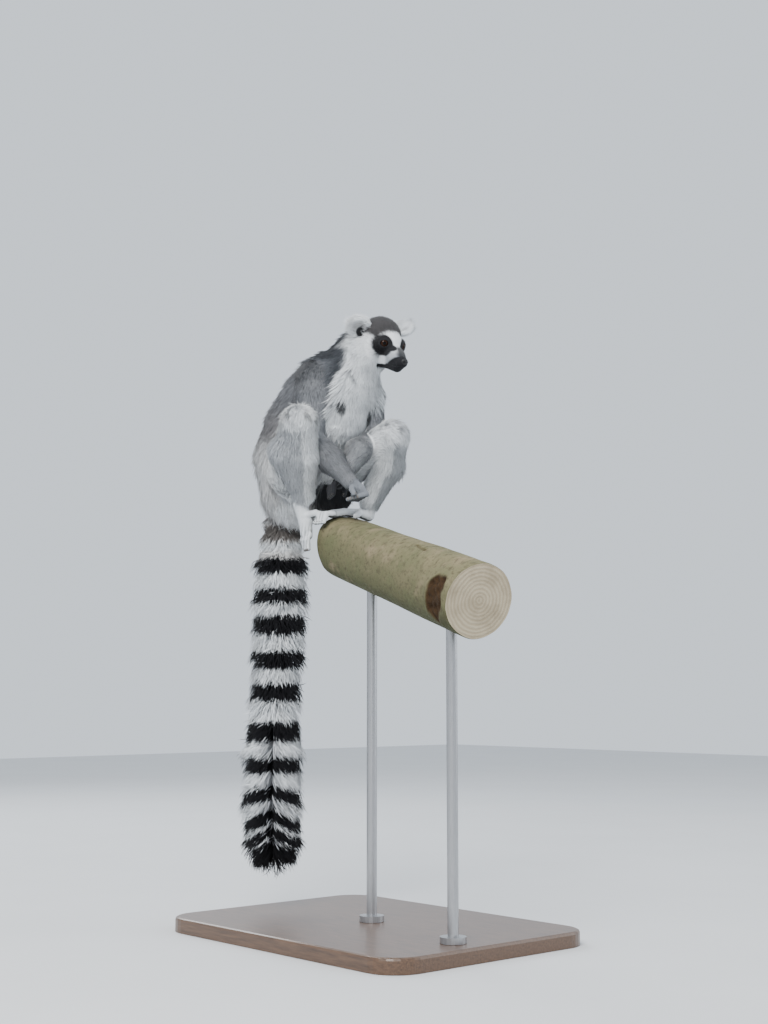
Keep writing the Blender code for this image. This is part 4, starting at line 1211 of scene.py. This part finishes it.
def bark_height(points, away, level, upright):
    """How far the bark stands out at each point: waves, the knot's rim and ruggedness, the crack."""
    start = np.array(LOG_END)
    local = np.stack([away * 0.35, (points - start) @ level, (points - start) @ upright], 1)
    height = wobble(local, 0.020, 1.0) * 0.0007 + wobble(local, 0.0075, 2.0) * 0.0004 - 0.0004
    knot = knot_reach(points)
    height += np.exp(-((knot - 1.05) / 0.22) ** 2) * 0.0022
    height += step(1.0, 0.8, knot) * (wobble(points, 0.0045, 7.0) * 0.0028 - 0.0012)
    return height - np.exp(-(curve_distance(points, CRACK) / 0.0026) ** 2) * 0.0020


def build_log(bark, wood):
    """The branch: a plumb cut behind the lemur, a square cut at the far end, and rugged bark."""
    axis = np.array(LOG_AXIS)
    level = unit(np.cross(axis, (0, 0, 1)))
    upright = np.cross(level, axis)
    plumb = unit(np.array((LOG_AXIS.x, LOG_AXIS.y, 0.0)))
    start = np.array(LOG_END)
    angles = np.arange(LOG_AROUND) / LOG_AROUND * math.tau - math.pi / 2
    ways = [level * math.cos(angle) + upright * math.sin(angle) for angle in angles]
    first = [-log_section(0.0, angle) * (way @ plumb) / (axis @ plumb) for angle, way in zip(angles, ways)]
    points = []
    for row in range(LOG_ROWS + 1):
        share = row / LOG_ROWS
        worn_edge = 0.0012 * math.exp(-min(row, LOG_ROWS - row) / 0.8)
        for angle, way, begin in zip(angles, ways, first):
            distance = begin + (LOG_LENGTH - begin) * share
            radius = log_section(max(distance, -0.02), angle) - worn_edge
            points.append(start + axis * distance + way * radius)
    points = np.array(points)
    outward = unit(np.tile(np.array(ways), (LOG_ROWS + 1, 1)))
    points += outward * bark_height(points, (points - start) @ axis, level, upright)[:, None]

    sides = []
    for a in range(0, LOG_ROWS * LOG_AROUND, LOG_AROUND):
        sides += ring_faces(a, a + LOG_AROUND)
    points, ends = list(points), []
    for rim, sign in ((0, 1), (LOG_ROWS * LOG_AROUND, -1)):
        edge = points[rim:rim + LOG_AROUND]
        centre = sum(edge) / LOG_AROUND
        previous = rim
        for share in SAWN_RINGS:
            ends += [face[::-sign] for face in ring_faces(previous, len(points))]
            previous = len(points)
            points += [centre + (place - centre) * share for place in edge]
        ends += [(face[0], face[1], len(points))[::-sign] for face in ring_faces(previous, previous)]
        points.append(centre)
    obj = mesh_object("branch", points, sides + ends, bark, wood)
    face_outward(obj.data)
    obj.data.polygons.foreach_set("material_index", [0] * len(sides) + [1] * len(ends))
    obj.data.shade_smooth()
    obj.data.set_sharp_from_angle(angle=math.radians(50))
    points = mesh_points(obj.data)
    crack = np.exp(-(curve_distance(points, CRACK) / 0.0024) ** 2)
    store_values(obj.data, "knot", np.maximum(step(1.10, 0.90, knot_reach(points)), crack))
    # how far the bark faces up, for painted light above and painted shade below
    store_values(obj.data, "painted_light_from_above", mesh_normals(obj.data)[:, 2] * 0.5 + 0.5)
    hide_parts("perch_log")
    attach(obj, "root")


def bark_material():
    """Olive bark, paler and browner in patches, painted darker below and lighter above as shade and light,
    with a dark brown knot and crack.
    """
    paint = Paint("bark")
    turn = tuple(LOG_AXIS.to_track_quat("X", "Z").inverted().to_euler())
    broad = paint.noise(9.0, 4.0, 0.6, (1.0, 3.2, 3.2), turn)
    fine = paint.noise(55.0, 5.0, 0.65, (1.0, 3.2, 3.2), turn)
    patches = paint.noise(16.0, 3.0, 0.55, (1.0, 1.6, 1.6), turn)
    # painted shade below and painted light above, by how far the bark faces up
    colour = paint.mix(paint.attribute("painted_light_from_above")["Fac"], (0.040, 0.046, 0.020), (0.215, 0.185, 0.105))
    colour = paint.mix(paint.ramp(broad, (0.35, 0.0), (0.70, 0.80)), colour, (0.100, 0.108, 0.052))
    colour = paint.mix(paint.ramp(patches, (0.55, 0.0), (0.72, 0.65)), colour, (0.260, 0.205, 0.130))
    colour = paint.mix(paint.ramp(fine, (0.30, 0.80), (0.50, 0.0)), colour, (0.060, 0.050, 0.030))
    knot = paint.mix(paint.noise(170.0, 4.0, 0.7), (0.004, 0.002, 0.001), (0.062, 0.031, 0.009))
    colour = paint.mix(paint.attribute("knot")["Fac"], colour, knot)
    paint.bump(fine, 0.0015, 0.7)
    return paint.finish(colour, {"Roughness": 0.82, "Specular IOR Level": 0.22})


def sawn_material():
    """Pale end grain with growth rings round the log's axis, and stains."""
    paint = Paint("sawn_wood")
    coord = paint.node("ShaderNodeTexCoord", {}).outputs["Object"]
    turn = tuple(LOG_AXIS.to_track_quat("Z", "Y").to_euler())
    mapping = paint.node("ShaderNodeMapping", {"Vector": coord, "Location": LOG_END, "Rotation": turn},
                         vector_type="TEXTURE")
    wave = {"Vector": mapping.outputs[0], "Scale": 55.0, "Distortion": 2.5, "Detail": 3.0}
    rings = paint.node("ShaderNodeTexWave", wave, wave_type="RINGS", rings_direction="Z").outputs["Fac"]
    colour = paint.ramp(rings, (0.0, (0.33, 0.27, 0.18)), (1.0, (0.42, 0.36, 0.25)))
    stain = paint.ramp(paint.noise(30.0, 4.0, 0.6), (0.45, 0.0), (0.75, 0.6))
    paint.bump(rings, 0.0006, 0.5)
    return paint.finish(paint.mix(stain, colour, (0.17, 0.13, 0.08)), {"Roughness": 0.8})


def base_material():
    """Dark polished wood."""
    paint = Paint("base_wood")
    grain = paint.noise(22.0, 6.0, 0.62, (14.0, 1.0, 14.0))
    paint.bump(grain, 0.0004, 0.4)
    return paint.finish(paint.ramp(grain, (0.25, (0.045, 0.022, 0.011)), (0.75, (0.135, 0.072, 0.038))), {
        "Roughness": 0.38, "Coat Weight": 0.3, "Coat Roughness": 0.2})


def rod_material():
    """Brushed steel."""
    paint = Paint("rod_steel")
    grain = paint.noise(60.0, 3.0, 0.6, (40.0, 40.0, 1.0))
    return paint.finish(paint.ramp(grain, (0.3, (0.36, 0.36, 0.37)), (0.7, (0.48, 0.48, 0.49))), {
        "Metallic": 1.0, "Roughness": 0.34})


def repaint(node, made):
    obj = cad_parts[node]
    obj.data.materials.clear()
    obj.data.materials.append(made)


# ---------------- light, floor and camera
def build_stage():
    """A pale floor under the stand, a soft sky and three soft lamps."""
    paint = Paint("floor")
    colour = paint.ramp(paint.noise(3.0), (0.0, (0.60, 0.61, 0.62)), (1.0, (0.66, 0.67, 0.68)))
    corners = [(x, y, -0.0005) for x, y in ((-6, -6), (6, -6), (6, 6), (-6, 6))]
    obj = mesh_object("floor", corners, [(0, 1, 2, 3)], paint.finish(colour, {"Roughness": 0.9}))
    world = bpy.data.worlds.new("world")
    bpy.context.scene.world = world
    world.use_nodes = True
    background = world.node_tree.nodes["Background"]
    background.inputs["Color"].default_value = (0.80, 0.87, 0.95, 1.0)
    background.inputs["Strength"].default_value = 1.15
    for name, place, size, power, tint in (
            ("key", (-2.4, -1.6, 3.0), 2.2, 195.0, (1.0, 0.98, 0.95)),
            ("fill", (2.6, -1.8, 1.6), 2.5, 35.0, (0.92, 0.96, 1.0)),
            ("back", (0.6, 2.8, 2.4), 2.0, 60.0, (0.95, 0.98, 1.0))):
        light = bpy.data.lights.new(name, "AREA")
        light.shape = "DISK"
        light.size = size
        light.energy = power
        light.color = tint
        lamp = link(bpy.data.objects.new(name, light))
        lamp.location = place
        lamp.rotation_mode = "QUATERNION"
        lamp.rotation_quaternion = (Vector((0.0, 0.1, 0.6)) - Vector(place)).to_track_quat("-Z", "Y")


def build_camera():
    camera = bpy.data.cameras.new("camera")
    camera.sensor_fit = "AUTO"
    camera.sensor_width = 36.0
    camera.lens = 52.734
    obj = link(bpy.data.objects.new("camera", camera))
    obj.location = (-1.5407, -1.7664, 0.37)
    obj.rotation_mode = "QUATERNION"
    obj.rotation_quaternion = Vector((0.6585, 0.7431, 0.1191)).to_track_quat("-Z", "Y")
    bpy.context.scene.camera = obj


# ---------------- assembly
define_body()
# the number of each leg's first cone
THIGHS = {leg: [solid["group"] for solid in solids].index(leg) for leg in ("leg_right", "leg_left")}
flesh = [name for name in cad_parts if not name.startswith(("eye_", "nose", "stand_", "perch_"))]
skin, skin_marks = build_skin()
skin.data.materials.append(fur_material("skin", skin=True))
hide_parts(*flesh)
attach(skin, "root")
fur, banded_fur = fur_material("fur"), fur_material("banded_fur", crisp=True)
for piece in build_coat(skin, skin_marks):
    piece.data.materials.append(banded_fur if "tail" in piece.name else fur)
    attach(piece, "root")
eye_paint = eye_material()
for eye_side in (-1, 1):
    build_eye(eye_side, eye_paint)
build_nose(nose_material())
# the second nail material is painted shade, for the left hand's nails
build_nails(nail_material("nail", (0.16, 0.146, 0.134)), nail_material("painted_shade_nail", (0.016, 0.015, 0.014)))
build_log(bark_material(), sawn_material())
repaint("stand_base", base_material())
steel = rod_material()
for rod in ("stand_rod_rear", "stand_rod_front"):
    repaint(rod, steel)
build_stage()
build_camera()
